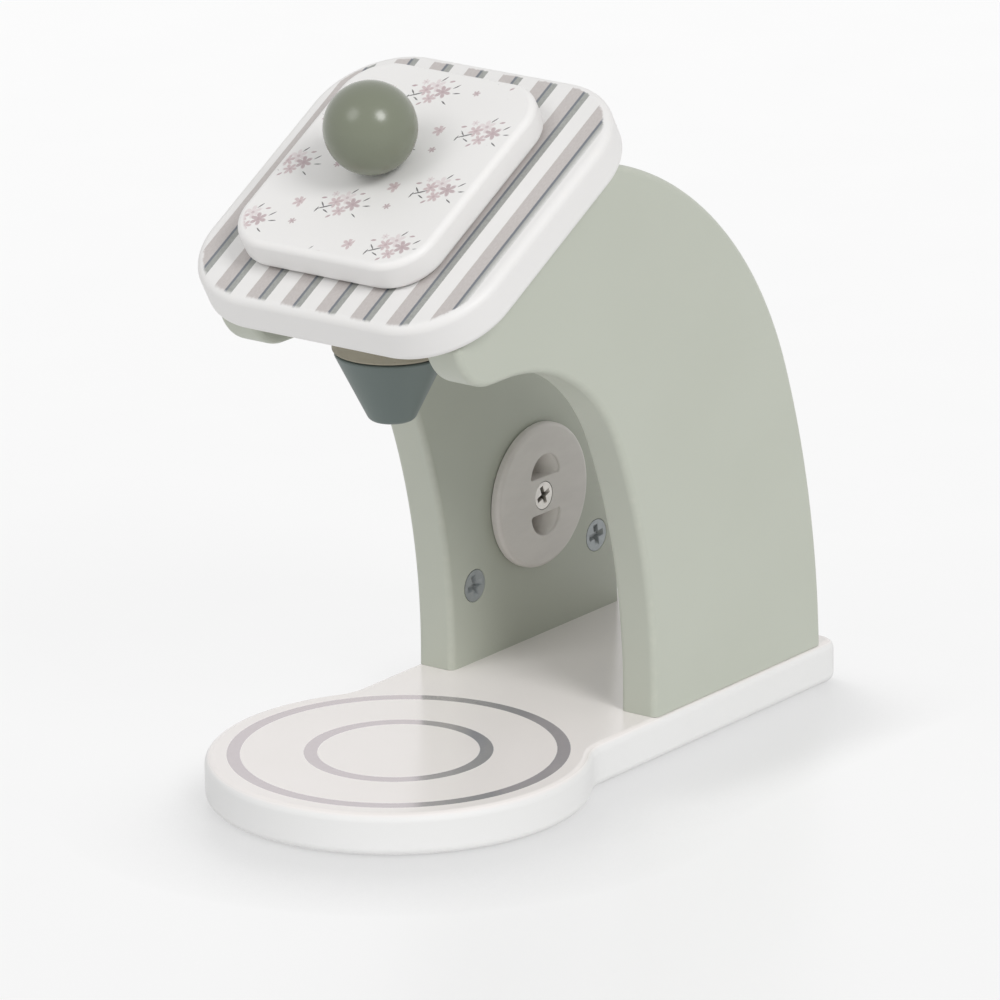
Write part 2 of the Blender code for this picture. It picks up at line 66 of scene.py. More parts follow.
class Tree:
    """Short calls for the nodes of one tree; a socket that is given as a value gets linked."""

    def __init__(self, tree):
        self.tree = tree

    def give(self, socket, value):
        if isinstance(value, bpy.types.NodeSocket):
            self.tree.links.new(value, socket)
        else:
            socket.default_value = value

    def node(self, kind, values=None, **settings):
        made = self.tree.nodes.new(kind)
        for name, value in settings.items():
            setattr(made, name, value)
        for name, value in (values or {}).items():
            self.give(made.inputs[name], value)
        return made

    def math(self, operation, *values):
        made = self.node("ShaderNodeMath", operation=operation)
        for index, value in enumerate(values):
            self.give(made.inputs[index], value)
        return made.outputs[0]

    def times(self, first, *others):
        for other in others:
            first = self.math("MULTIPLY", first, other)
        return first

    def times_plus(self, value, factor, added):
        return self.math("MULTIPLY_ADD", value, factor, added)

    def plus(self, first, second):
        return self.math("ADD", first, second)

    def minus(self, first, second):
        return self.math("SUBTRACT", first, second)

    def over(self, first, second):
        return self.math("DIVIDE", first, second)

    def most(self, first, second):
        return self.math("MAXIMUM", first, second)

    def size(self, value):
        return self.math("ABSOLUTE", value)

    def above(self, value, level):
        return self.math("GREATER_THAN", value, level)

    def split(self, vector):
        return self.node("ShaderNodeSeparateXYZ", {"Vector": vector}).outputs

    def join(self, x=0.0, y=0.0, z=0.0):
        return self.node("ShaderNodeCombineXYZ", {"X": x, "Y": y, "Z": z}).outputs[0]

    def waver(self, value, share, amount):
        """A value moved to either side by a share that runs from nought to one."""
        return self.times_plus(self.minus(share, 0.5), amount, value)

    def attribute(self, name):
        return self.node("ShaderNodeAttribute", attribute_name=name).outputs["Fac"]

    def seen(self):
        """One for what the camera or a reflection looks at, else nought."""
        ray = self.node("ShaderNodeLightPath").outputs
        return self.most(ray["Is Camera Ray"], self.most(ray["Is Glossy Ray"],
                ray["Is Transmission Ray"]))

    def vector(self, operation, *values):
        made = self.node("ShaderNodeVectorMath", operation=operation)
        for index, value in enumerate(values):
            self.give(made.inputs[index], value)
        return made.outputs["Value" if operation == "LENGTH" else "Vector"]

    def smooth(self, value, low, high, to_low=0.0, to_high=1.0):
        made = self.node("ShaderNodeMapRange", {
            "Value": value, "From Min": low, "From Max": high, "To Min": to_low,
            "To Max": to_high}, interpolation_type="SMOOTHSTEP")
        return made.outputs["Result"]

    def mix(self, factor, first, second, blend="MIX"):
        made = self.node("ShaderNodeMix", data_type="RGBA", blend_type=blend)
        for index, value in ((0, factor), (6, first), (7, second)):
            self.give(made.inputs[index], value)
        return made.outputs[2]

    def noise(self, vector, scale, detail=2.0, roughness=0.5):
        made = self.node("ShaderNodeTexNoise", {"Vector": vector, "Scale": scale, "Detail": detail,
                "Roughness": roughness})
        return made.outputs["Fac"]

    def bump(self, strength, distance, height):
        return self.node("ShaderNodeBump", {"Strength": strength, "Distance": distance,
                "Height": height}).outputs["Normal"]

    def group(self, group, values):
        return self.node("ShaderNodeGroup", values, node_tree=group).outputs


def new_group(name, inputs, outputs):
    """A shader node group; its inputs are (name, first value) and its outputs names."""
    group = bpy.data.node_groups.new(name, "ShaderNodeTree")
    for socket_name, value in inputs:
        kind = "Float" if isinstance(value, float) else "Vector" if len(value) == 3 else "Color"
        socket = group.interface.new_socket(socket_name, in_out="INPUT",
            socket_type="NodeSocket" + kind)
        socket.default_value = value
    for socket_name in outputs:
        kind = {"Colour": "Color", "Normal": "Vector"}.get(socket_name, "Float")
        group.interface.new_socket(socket_name, in_out="OUTPUT", socket_type="NodeSocket" + kind)
    start = group.nodes.new("NodeGroupInput")
    end = group.nodes.new("NodeGroupOutput")
    return group, Tree(group), start.outputs, end.inputs


# The skin of sprayed satin paint on wood: cloudy tone, orange peel, faint grain, painted rim
# highlight
paint_skin, tree, given, result = new_group(
    "paint_skin",
    [("Vector", (0.0, 0.0, 0.0)), ("Colour", (1.0, 1.0, 1.0, 1.0)), ("Grain", (1.0, 1.0, 1.0)),
     ("Rim", 0.0), ("Roughness", 0.35), ("Relief", 0.55)],
    ("Colour", "Roughness", "Normal"))
cloud = tree.noise(given["Vector"], 30.0, 1.5, 0.45)
tone = tree.mix(tree.smooth(cloud, 0.2, 0.8), given["Colour"], (0.984, 0.983, 0.980, 1.0),
    "MULTIPLY")
cell = tree.node("ShaderNodeTexVoronoi", {"Vector": given["Vector"], "Scale": 210.0})
lonely = tree.above(tree.node("ShaderNodeSeparateColor",
        {"Color": cell.outputs["Color"]}).outputs[0], 0.86)
speck = tree.times(tree.smooth(cell.outputs["Distance"], 0.055, 0.025), lonely)
tone = tree.mix(tree.times(speck, 0.16), tone, (0.30, 0.28, 0.25, 1.0))
streak = tree.noise(tree.vector("MULTIPLY", given["Vector"], given["Grain"]), 1.0, 5.0, 0.62)
peel = tree.noise(given["Vector"], 1500.0, 2.0, 0.5)
# Rounded rims are lightened towards a warm pale tone in broken patches: a painted highlight.
thin = tree.times(given["Rim"], tree.smooth(tree.noise(given["Vector"], 330.0, 3.0), 0.42, 0.75))
tree.give(result["Colour"], tree.mix(tree.times(thin, 0.07), tone, (0.86, 0.80, 0.71, 1.0)))
height = tree.times_plus(streak, 1.4, tree.times(peel, 0.55))
tree.give(result["Normal"], tree.bump(given["Relief"], 0.000022, height))
rough = tree.times_plus(tree.smooth(cloud, 0.3, 0.75), 0.07, given["Roughness"])
tree.give(result["Roughness"], tree.times_plus(peel, 0.05, rough))

# A soft-edged band between two values, for whatever is printed in stripes or rings
band, tree, given, result = new_group(
    "band", [("Value", 0.0), ("From", 0.0), ("To", 1.0), ("Softness", 0.0001)], ("Mask",))
value, soft = given["Value"], given["Softness"]
rise = tree.smooth(value, tree.minus(given["From"], soft), tree.plus(given["From"], soft))
fall = tree.smooth(value, tree.minus(given["To"], soft), tree.plus(given["To"], soft), 1.0, 0.0)
tree.give(result["Mask"], tree.times(rise, fall))


def stripe(tree, value, start, end, softness):
    """The mask of a band between two values."""
    return tree.group(band, {"Value": value, "From": start, "To": end,
            "Softness": softness})["Mask"]


def new_material(name):
    """A material with its tree, its shader and the Object coordinates."""
    material = bpy.data.materials.new(name)
    material.use_nodes = True
    tree = Tree(material.node_tree)
    shader = material.node_tree.nodes["Principled BSDF"]
    return material, tree, shader, tree.node("ShaderNodeTexCoord").outputs["Object"]


def dress(tree, shader, made):
    """Give a shader the colour, roughness and normal that a group makes."""
    for output, socket in (("Colour", "Base Color"), ("Roughness", "Roughness"),
            ("Normal", "Normal")):
        tree.give(shader.inputs[socket], made[output])


def spray(tree, shader, place, colour, roughness, grain, relief=0.55):
    """Lay sprayed paint over a shader and return the paint's roughness."""
    skin = tree.group(paint_skin, {"Vector": place, "Colour": colour, "Grain": grain,
            "Rim": tree.attribute("rim"), "Roughness": roughness, "Relief": relief})
    dress(tree, shader, skin)
    return skin["Roughness"]


def painted(name, colour, roughness, grain, relief=0.55):
    """A material of sprayed paint in one colour."""
    material, tree, shader, place = new_material(name)
    spray(tree, shader, place, colour, roughness, grain, relief)
    return material


def arc(centre, radius, start, end):
    """Points of an arc as (point, outward normal, reach, mitre); a clockwise one is hollow."""
    side = 1 if end > start else -1
    steps = max(6, ceil(abs(end - start) * radius / 0.0009))
    points = []
    for index in range(steps + 1):
        angle = start + (end - start) * index / steps
        normal = Vector((cos(angle), sin(angle)))
        points.append((Vector(centre) + normal * radius, normal * side, 1.0, Vector((0, 0))))
    return points


def line(start, end):
    """A straight stretch with its outward normal on the right of the way from start to end."""
    way = (Vector(end) - Vector(start)).normalized()
    normal = Vector((way.y, -way.x))
    return [(Vector(start), normal, 1.0, Vector((0, 0))),
        (Vector(end), normal, 1.0, Vector((0, 0)))]


def lines(*points):
    """Straight stretches from each point to the next."""
    return [line(start, end) for start, end in zip(points, points[1:])]


def joined(parts, softness=0.0004, closed=True):
    """One outline from arcs and lines, with a small soft corner wherever two meet at an angle."""
    trimmed = [list(part) for part in parts]
    corners = [[] for part in parts]
    for index in range(len(parts) if closed else len(parts) - 1):
        after = (index + 1) % len(parts)
        point, first = parts[index][-1][:2]
        second = parts[after][0][1]
        turn = atan2(first.cross(second), first.dot(second))
        if abs(turn) < 0.02:
            continue
        side = 1 if turn > 0 else -1
        mitre = (first + second) / (1 + first.dot(second))
        reach = softness * abs(tan(turn / 2)) * 1.01
        centre = point - mitre * softness * side
        heading = atan2(first.y, first.x)
        for step in range(7):
            angle = heading + turn * step / 6
            normal = Vector((cos(angle), sin(angle)))
            corners[index].append((centre + normal * softness * side, normal,
                    softness if side > 0 else 1.0, mitre))
        while trimmed[index] and (trimmed[index][-1][0] - point).length <= reach:
            trimmed[index].pop()
        while trimmed[after] and (trimmed[after][0][0] - point).length <= reach:
            trimmed[after].pop(0)
    outline = []
    for part, corner in zip(trimmed, corners):
        for entry in part + corner:
            if not outline or (entry[0] - outline[-1][0]).length > 1e-7:
                outline.append(entry)
    if closed and (outline[0][0] - outline[-1][0]).length < 1e-7:
        outline.pop()
    return outline


def new_object(name, data):
    """An object in the scene."""
    thing = bpy.data.objects.new(name, data)
    bpy.context.scene.collection.objects.link(thing)
    return thing


class Surface:
    """The points of one piece, each with its normal and how far it is on a rounded rim."""

    def __init__(self):
        self.points, self.normals, self.rims, self.faces = [], [], [], []

    def point(self, position, normal, rim=0.0):
        self.points.append(Vector(position))
        self.normals.append(Vector(normal))
        self.rims.append(rim)
        return len(self.points) - 1

    def face(self, corners):
        kept = []
        for corner in corners:
            if all((self.points[corner] - self.points[other]).length > 1e-8 for other in kept):
                kept.append(corner)
        if len(kept) > 2:
            self.faces.append(kept)

    def cover(self, rows, around=True):
        """Faces between each row of points and the next one above it."""
        for low, high in zip(rows, rows[1:]):
            for index in range(len(low) if around else len(low) - 1):
                after = (index + 1) % len(low)
                self.face((low[index], low[after], high[after], high[index]))

    def wall(self, outline, profile, closed=True):
        """Run along an outline; the profile gives (inset, height, tilt of the normal, rim)."""
        rows = []
        for inset, height, tilt, rim in profile:
            row = []
            for point, normal, reach, mitre in outline:
                spot = point - normal * min(inset, reach) - mitre * max(0.0, inset - reach)
                facing = (*(normal * cos(tilt)), sin(tilt))
                row.append(self.point((*spot, height), facing, rim))
            rows.append(row)
        self.cover(rows, closed)
        return rows

    def flat(self, rings, normal):
        """Fill a flat face between an outer ring and the rings of its holes."""
        order = [corner for ring in rings for corner in ring]
        corners = [[self.points[corner] for corner in ring] for ring in rings]
        for triple in tessellate_polygon(corners):
            a, b, c = (self.points[order[index]] for index in triple)
            area = (b - a).cross(c - a).dot(Vector(normal))
            if abs(area) > 1e-13:
                self.face([order[index] for index in (triple if area > 0 else reversed(triple))])

    def spin(self, path, sides=96, closed=False, rim=None):
        """Turn a path of (radius, height) points about z."""
        rows = []
        for point, normal, reach, mitre in path:
            worn = 0.0 if rim is None else rim(point, normal)
            row = []
            for step in range(sides):
                angle = tau * step / sides
                across, along = cos(angle), sin(angle)
                row.append(self.point((point.x * across, point.x * along, point.y),
                        (normal.x * across, normal.x * along, normal.y), worn))
            rows.append(row)
        self.cover(rows + rows[:1] if closed else rows)
        return rows

    def piece(self, name, material, place=Matrix()):
        """The finished object, its mesh in its place in the machine."""
        mesh = bpy.data.meshes.new(name)
        mesh.from_pydata([place @ point for point in self.points], [], self.faces)
        mesh.attributes.new("rim", "FLOAT", "POINT").data.foreach_set("value", self.rims)
        mesh.shade_smooth()
        turn = place.to_3x3()
        mesh.normals_split_custom_set_from_vertices([(turn @ normal).normalized()
                for normal in self.normals])
        mesh.materials.append(material)
        return new_object(name, mesh)


def round_rim(rounding, low, high):
    """The edge of a board from its underside to its top: round, straight, round."""
    steps = 7
    lower = []
    for index in range(steps + 1):
        angle = pi / 2 * (index / steps - 1)
        lower.append((rounding * (1 - cos(angle)), rounding * (1 + sin(angle)), angle,
                -sin(2 * angle)))
    return ([(inset, low + height, tilt, rim) for inset, height, tilt, rim in lower]
        + [(inset, high - height, -tilt, rim) for inset, height, tilt, rim in reversed(lower)])


def board(outlines, thickness, open_edge=False):
    """A board between z = 0 and its thickness, from (outline, rounding) of its edge and holes.

    A list in place of a rounding is the profile of that wall. An open edge leaves its two ends to
    be joined by a square sawn face.
    """
    surface = Surface()
    walls = []
    for index, (outline, rounding) in enumerate(outlines):
        profile = rounding if isinstance(rounding, list) else round_rim(rounding, 0, thickness)
        walls.append(surface.wall(outline, profile, index > 0 or not open_edge))
    surface.flat([rows[0] for rows in walls], (0, 0, -1))
    surface.flat([rows[-1] for rows in walls], (0, 0, 1))
    if open_edge:
        ends = [row[0] for row in walls[0]] + [row[-1] for row in reversed(walls[0])]
        way = surface.points[ends[0]] - surface.points[ends[-1]]
        sawn = way.cross(Vector((0, 0, 1))).normalized() * -1
        surface.flat([[surface.point(surface.points[end], sawn) for end in ends]], sawn)
    return surface


def fit(piece, node, body="body"):
    """Put a finished piece in for a node, on its body."""
    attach(piece, body)
    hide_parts(node)


def hole(x, y, radius):
    """A round hole's outline."""
    return arc((x, y), radius, tau, 0)[:-1]


def screw_hole(x, y, thickness, head_on_top):
    """A countersunk hole: a mouth for the head, its cone and a narrow bore."""
    bore, sink, mouth, rounding = 0.0023, 0.0024, 0.0005, 0.0003
    rows = round_rim(rounding, 0, thickness)
    half = len(rows) // 2
    wide = rows[half:] if head_on_top else rows[:half]
    wide = [(inset + sink, height, lean, rim) for inset, height, lean, rim in wide]
    cone = [(sink, mouth, 0.0, 0.0), (sink, mouth, -pi / 4, 0.0), (0.0, mouth + sink, -pi / 4, 0.0),
        (0.0, mouth + sink, 0.0, 0.0)]
    if head_on_top:
        cone = [(inset, thickness - height, -lean, rim)
            for inset, height, lean, rim in reversed(cone)]
        return hole(x, y, bore), rows[:half] + cone + wide
    return hole(x, y, bore), wide + cone + rows[half:]


base_rounding, ring_softness = 0.0025, 0.00011
outer_ring_edges, inner_ring_edges = (0.0429, 0.0465), (0.0220, 0.02565)
disc_radius, base_thickness, tail_side, tail_end, tail_corner = 0.0525, 0.012, 0.042, 0.147, 0.0055
waist_radius = 0.015
waist_x = tail_side + waist_radius
waist_y = sqrt((disc_radius + waist_radius) ** 2 - waist_x ** 2)
waist_lean = atan2(waist_y, waist_x)
corner_x, corner_y = tail_side - tail_corner, tail_end - tail_corner
base_edge = joined([
    arc((waist_x, waist_y), waist_radius, pi + waist_lean, pi),
    arc((corner_x, corner_y), tail_corner, 0, pi / 2),
    arc((-corner_x, corner_y), tail_corner, pi / 2, pi),
    arc((-waist_x, waist_y), waist_radius, 0, -waist_lean),
    arc((0, 0), disc_radius, pi - waist_lean, tau + waist_lean),
])
foot_screw_side, foot_screw_ys = 0.035, (0.080725, 0.119575)
foot_screws = [(side * foot_screw_side, y) for side in (-1, 1) for y in foot_screw_ys]
base = board([(base_edge, base_rounding)]
    + [screw_hole(x, y, base_thickness, False) for x, y in foot_screws], base_thickness)

base_white, tree, shader, place = new_material("base_white")
level = tree.split(place)["Z"]
distance = tree.vector("LENGTH", tree.vector("MULTIPLY", place, (1, 1, 0)))
distance = tree.waver(distance, tree.noise(place, 1900.0, 2.0), 0.00016)
outer_ring = stripe(tree, distance, *outer_ring_edges, ring_softness)
inner_ring = stripe(tree, distance, *inner_ring_edges, ring_softness)
top_face = tree.smooth(level, base_thickness - 0.0012, base_thickness - 0.0002)
ink = tree.times(tree.most(outer_ring, inner_ring), tree.above(level, base_thickness - 0.0002))
ink_tone = tree.mix(tree.noise(place, 700.0, 3.0), (0.54, 0.57, 0.64, 1.0), (0.58, 0.61, 0.68, 1.0))
# The sawn sides get a darker, greyer white than the top: painted shade on the sides.
colour = tree.mix(top_face, (0.800, 0.799, 0.795, 1.0), (0.870, 0.830, 0.812, 1.0))
colour = tree.mix(ink, colour, ink_tone)
rough = spray(tree, shader, place, colour, 0.15, (9.0, 95.0, 95.0), 0.12)
rough = tree.times_plus(tree.minus(1.0, top_face), 0.33, rough)
tree.give(shader.inputs["Metallic"], tree.times(ink, 0.66))
tree.give(shader.inputs["Specular Tint"], tree.mix(ink, (1.0, 1.0, 1.0, 1.0),
        (1.0, 0.77, 0.63, 1.0)))
tree.give(shader.inputs["Roughness"], tree.times(rough, tree.times_plus(ink, -0.35, 1.0)))
fit(base.piece("base_board_fine", base_white), "base_board")

# ---------------------------------------------------------------- Side panels
# Two equal boards sawn to the machine's side view: foot, slow curve of the leg, arch over the cup,
# nose and round back. Each is rounded all round with a router and sprayed sage green.

panel_inner, panel_thickness, panel_floor, panel_rounding = 0.029, 0.012, 0.01205, 0.002
plate_level, seat_gap, seat_end = 0.150667, 0.0003, 0.0476
tilt = radians(29)
leg_centre, leg_radius = (-0.1237, 0.020), 0.185
arch_centre, arch_radius = (-0.001273, 0.071967), 0.052
nose_centre, nose_radius = (-0.008473, 0.138967), 0.015
low_centre, low_radius = Vector((-0.1336, 0.008)), 0.2726


def seat_level(y):
    """Height of the panels' slanted tops at a y."""
    return plate_level + y * tan(tilt) - seat_gap / cos(tilt)


nose_end = pi + tilt - asin((seat_level(nose_centre[0]) - nose_centre[1]) * cos(tilt) / nose_radius)
nose_front = nose_centre[0] + nose_radius * cos(nose_end)
rear_top_y = seat_end * cos(tilt)
rear_top = Vector((rear_top_y, seat_level(rear_top_y)))
low_turn = radians(19.3)
low_way = Vector((cos(low_turn), sin(low_turn)))
back_join = low_centre + low_way * low_radius
top_radius = (rear_top - back_join).length_squared / (2 * low_way.dot(back_join - rear_top))
top_centre = back_join - low_way * top_radius
top_turn = atan2(rear_top.y - top_centre.y, rear_top.x - top_centre.x)
leg_sweep = radians(23)
panel_edge = joined([
    arc(low_centre, low_radius, asin((panel_floor - low_centre.y) / low_radius), low_turn),
    arc(top_centre, top_radius, low_turn, top_turn),
    line(rear_top, (nose_front, seat_level(nose_front))),
    arc(nose_centre, nose_radius, nose_end, 3 * pi / 2),
    arc(arch_centre, arch_radius, pi / 2, leg_sweep),
    arc(leg_centre, leg_radius, leg_sweep, asin((panel_floor - leg_centre[1]) / leg_radius)),
], 0.0022, False)


def side_place(x):
    """A placement with its x, y and z along the machine's Y, Z and X, at a level of X."""
    return Matrix(((0, 0, 1, x), (1, 0, 0, 0), (0, 1, 0, 0), (0, 0, 0, 1)))


dial_y, dial_z, dial_bore = 0.10015, 0.0535, 0.0143
back_screws = ((0.07215, 0.034), (0.12815, 0.034))
left_holes = [(hole(dial_y, dial_z, dial_bore), 0.0003)] + [
    screw_hole(y, z, panel_thickness, True) for y, z in back_screws]
for name, x, holes in (("left", -panel_inner - panel_thickness, left_holes),
        ("right", panel_inner, [])):
    sage = painted(name + "_sage", (0.493, 0.517, 0.447, 1.0), 0.35, (160.0, 120.0, 11.0))
    panel = board([(panel_edge, panel_rounding)] + holes, panel_thickness, True)
    fit(panel.piece(name + "_panel_fine", sage, side_place(x)), name + "_side_panel")

# ---------------------------------------------------------------- Bridge board
# A small white board between the panels, glued on two dowels at each end.
# It carries the nozzle, and play capsules come to rest on it; its own faces stay as they are.

bridge_white = painted("bridge_white", (0.80, 0.785, 0.765, 1.0), 0.36, (12.0, 120.0, 120.0))
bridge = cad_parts["bridge_board"]
for index in range(len(bridge.data.materials)):
    bridge.data.materials[index] = bridge_white

# ---------------------------------------------------------------- Nozzle
# A collar of bare beech, turned, with the grain across it, and under it a cone in dark slate paint.
# One long screw from the top of the bridge board holds both.

# Bare sanded wood: long grain, fine dark pores along it and a dull, slightly fuzzy surface
bare_wood, tree, given, result = new_group(
    "bare_wood", [("Vector", (0.0, 0.0, 0.0)), ("Grain", (1.0, 1.0, 1.0))],
    ("Colour", "Roughness", "Normal"))
along = tree.vector("MULTIPLY", given["Vector"], given["Grain"])
rings = tree.noise(along, 1.0, 3.0, 0.5)
fibre = tree.noise(along, 9.0, 4.0, 0.6)
pores = tree.smooth(tree.noise(along, 17.0, 1.0), 0.66, 0.74)
wood = tree.mix(rings, (0.372, 0.345, 0.270, 1.0), (0.297, 0.272, 0.206, 1.0))
wood = tree.mix(tree.times(fibre, 0.3), wood, (0.215, 0.194, 0.138, 1.0))
tree.give(result["Colour"], tree.mix(tree.times(pores, 0.5), wood, (0.21, 0.18, 0.13, 1.0)))
tree.give(result["Roughness"], tree.times_plus(fibre, 0.2, 0.5))
tree.give(result["Normal"], tree.bump(0.6, 0.00004, tree.minus(fibre, pores)))


def wooden(name, grain):
    """A material of bare wood; the grain's numbers are low along it and high across it."""
    material, tree, shader, place = new_material(name)
    dress(tree, shader, tree.group(bare_wood, {"Vector": place, "Grain": grain}))
    return material


def on_rounding(point, normal):
    """Where a turned piece takes the painted rim highlight: most where its surface leans halfway.
    """
    return abs(2 * normal.x * normal.y)


collar_radius, collar_height, collar_rounding, screw_bore = 0.0158, 0.0058, 0.0008, 0.0021
collar_level, cone_level, bridge_top = 0.125167, 0.124867, 0.143267
collar = Surface()
collar.spin(joined([
    line((screw_bore, 0), (collar_radius - collar_rounding, 0)),
    arc((collar_radius - collar_rounding, collar_rounding), collar_rounding, -pi / 2, 0),
    *lines((collar_radius, collar_rounding), (collar_radius, collar_height),
        (screw_bore, collar_height), (screw_bore, 0)),
], 0.0002), 128, True, on_rounding)
collar_wood = wooden("collar_beech", (14.0, 190.0, 150.0))
fit(collar.piece("nozzle_collar_fine", collar_wood, Matrix.Translation((0, 0, collar_level))),
    "nozzle_collar")

cone_radius, tip_radius, cone_height = 0.0152, 0.0061, 0.0192
lean = atan2(cone_radius - tip_radius, cone_height)
tip_rounding, brim_rounding = 0.0022, 0.0006
tip_turn = tip_rounding * tan((pi / 2 + lean) / 2 - lean)
cone = Surface()
cone.spin(joined([
    line((0, -cone_height), (tip_radius - tip_turn, -cone_height)),
    arc((tip_radius - tip_turn, tip_rounding - cone_height), tip_rounding, -pi / 2, -lean),
    arc((cone_radius - brim_rounding, -brim_rounding), brim_rounding, -lean, pi / 2),
    *lines((cone_radius - brim_rounding, 0), (screw_bore, 0), (screw_bore, -0.010)),
], 0.0002, False), 128)
slate = painted("cone_slate", (0.132, 0.166, 0.157, 1.0), 0.36, (90.0, 90.0, 14.0))
fit(cone.piece("nozzle_cone_fine", slate, Matrix.Translation((0, 0, cone_level))), "nozzle_cone")

# ---------------------------------------------------------------- Top plate
# A square white board with round corners on the panels' slanted tops, with a hole for capsules.
# Eight printed bands run up the slope: each is a broad taupe stripe, a thin blue and an olive one.

plate_width, plate_length, plate_thickness, plate_corner = 0.0963, 0.0988, 0.012, 0.024
plate_middle, capsule_across, capsule_radius = 0.0140, -0.0022, 0.0230
slope_way = Vector((0, cos(tilt), sin(tilt)))
slope_normal = Vector((0, -sin(tilt), cos(tilt)))
plate_seat = Vector((0, 0, plate_level))


def slope_place(across, above):
    """A placement on the plate: y up the slope, z off the plate's underside."""
    spot = plate_seat + slope_way * plate_middle + slope_normal * above
    return Matrix.Translation((across, spot.y, spot.z)) @ Matrix.Rotation(tilt, 4, "X")


def rounded(width, length, radius):
    """Outline of a rectangle with round corners about its middle."""
    corners = ((1, 1), (-1, 1), (-1, -1), (1, -1))
    return joined([
        arc((side * (width / 2 - radius), end * (length / 2 - radius)), radius,
            index * pi / 2, (index + 1) * pi / 2)
        for index, (side, end) in enumerate(corners)])


# Distance inside the edge of a rectangle with round corners, for prints that stop short of it
inside_edge, tree, given, result = new_group("inside_edge",
    [("Vector", (0.0, 0.0, 0.0)), ("Half Width", 0.05), ("Half Length", 0.05), ("Corner", 0.02)],
    ("Distance",))
spot = tree.vector("ABSOLUTE", given["Vector"])
inner = tree.join(tree.minus(given["Half Width"], given["Corner"]),
    tree.minus(given["Half Length"], given["Corner"]), 1.0)
past = tree.vector("SUBTRACT", spot, inner)
beyond = tree.vector("LENGTH", tree.vector("MAXIMUM", past, (0, 0, 0)))
parts = tree.split(past)
within = tree.math("MINIMUM", tree.most(parts["X"], parts["Y"]), 0.0)
tree.give(result["Distance"], tree.minus(given["Corner"], tree.plus(beyond, within)))


def on_slope(tree, place, across, above):
    """Coordinates in the plane of a piece on the slope, from its middle."""
    spot = slope_place(across, above).translation
    return tree.node("ShaderNodeMapping", {"Vector": place, "Location": tuple(spot),
            "Rotation": (tilt, 0, 0)}, vector_type="TEXTURE").outputs[0]


plate_white, tree, shader, place = new_material("plate_white")
local = on_slope(tree, place, 0, 0)
parts = tree.split(local)
first_band, pitch = -0.0443, 0.0117
steps = tree.over(tree.minus(parts["X"], first_band), pitch)
across = tree.times(tree.math("FRACT", steps), pitch)
frayed = tree.waver(across, tree.noise(local, 2600.0, 2.0), 0.00022)
taupe = stripe(tree, frayed, 0.00015, 0.0043, 0.00014)
blue = stripe(tree, frayed, 0.0042, 0.0050, 0.00016)
olive = stripe(tree, frayed, 0.0048, 0.0068, 0.00014)
edge = tree.group(inside_edge, {"Vector": local, "Half Width": plate_width / 2,
        "Half Length": plate_length / 2, "Corner": plate_corner})["Distance"]
linen = tree.noise(tree.vector("MULTIPLY", local, (2100.0, 900.0, 1.0)), 1.0, 2.0, 0.7)
worn = tree.waver(edge, tree.noise(local, 900.0, 3.0), 0.0012)
front_blur = tree.smooth(parts["Y"], -0.036, -0.046, 0.0, 1.0)
start = tree.times_plus(front_blur, -0.0006, 0.0019)
shown = tree.smooth(worn, start, 0.0026)
last_fade = tree.smooth(tree.waver(parts["X"], linen, 0.0014), 0.0424, 0.0452, 1.0, 0.0)
shown = tree.times(shown, last_fade, tree.above(parts["Z"], plate_thickness - 0.0006))
shown = tree.times(shown, tree.above(steps, 0.0))
white = (0.800, 0.791, 0.782, 1.0)
grainy = tree.smooth(linen, 0.2, 0.8, 0.80, 1.0)
colour = tree.mix(tree.times(taupe, shown, grainy), white, (0.500, 0.462, 0.448, 1.0))
colour = tree.mix(tree.times(olive, shown, grainy), colour, (0.290, 0.300, 0.282, 1.0))
colour = tree.mix(tree.times(blue, shown), colour, (0.165, 0.178, 0.205, 1.0))
spray(tree, shader, place, colour, 0.44, (110.0, 12.0, 110.0), 0.3)
plate = board([(rounded(plate_width, plate_length, plate_corner), 0.0025),
        (hole(capsule_across, 0, capsule_radius), 0.0008)], plate_thickness)
fit(plate.piece("top_plate_fine", plate_white, slope_place(0, 0)), "top_plate")

# ---------------------------------------------------------------- Lid
# A white tile printed all over with small blossoms, a bare wooden plug under it that hangs in the
# capsule hole, and a turned ball to lift it by; one long screw from below holds the three.

# One round-petalled flower: its petals and its heart
flower, tree, given, result = new_group("flower",
    [("Vector", (0.0, 0.0, 0.0)), ("Middle", (0.0, 0.0, 0.0)), ("Radius", 0.001), ("Turn", 0.0)],
    ("Petals", "Heart"))
away = tree.vector("MULTIPLY", tree.vector("SUBTRACT", given["Vector"], given["Middle"]), (1, 1, 0))
parts = tree.split(away)
share = tree.over(tree.vector("LENGTH", away), given["Radius"])
angle = tree.plus(tree.math("ARCTAN2", parts["Y"], parts["X"]), given["Turn"])
lobe = tree.size(tree.math("COSINE", tree.times(angle, 3.0)))
reach = tree.times_plus(tree.math("POWER", lobe, 0.8), 0.70, 0.30)
tree.give(result["Petals"], tree.smooth(tree.over(share, reach), 1.10, 0.80))
tree.give(result["Heart"], tree.smooth(share, 0.24, 0.14))

# One leaf, twig or dash: a slim lens at an angle
lens, tree, given, result = new_group("lens", [("Vector", (0.0, 0.0, 0.0)),
        ("Middle", (0.0, 0.0, 0.0)), ("Half Length", 0.001), ("Half Width", 0.0003), ("Turn", 0.0)],
    ("Mask",))
turned_place = tree.node("ShaderNodeMapping", {
    "Vector": given["Vector"], "Location": given["Middle"],
    "Rotation": tree.join(z=given["Turn"])}, vector_type="TEXTURE")
parts = tree.split(turned_place.outputs[0])
far = tree.over(parts["X"], given["Half Length"])
wide = tree.size(tree.over(parts["Y"], given["Half Width"]))
bulge = tree.minus(1.0, tree.times(far, far))
tree.give(result["Mask"], tree.smooth(tree.minus(bulge, wide), -0.15, 0.15))

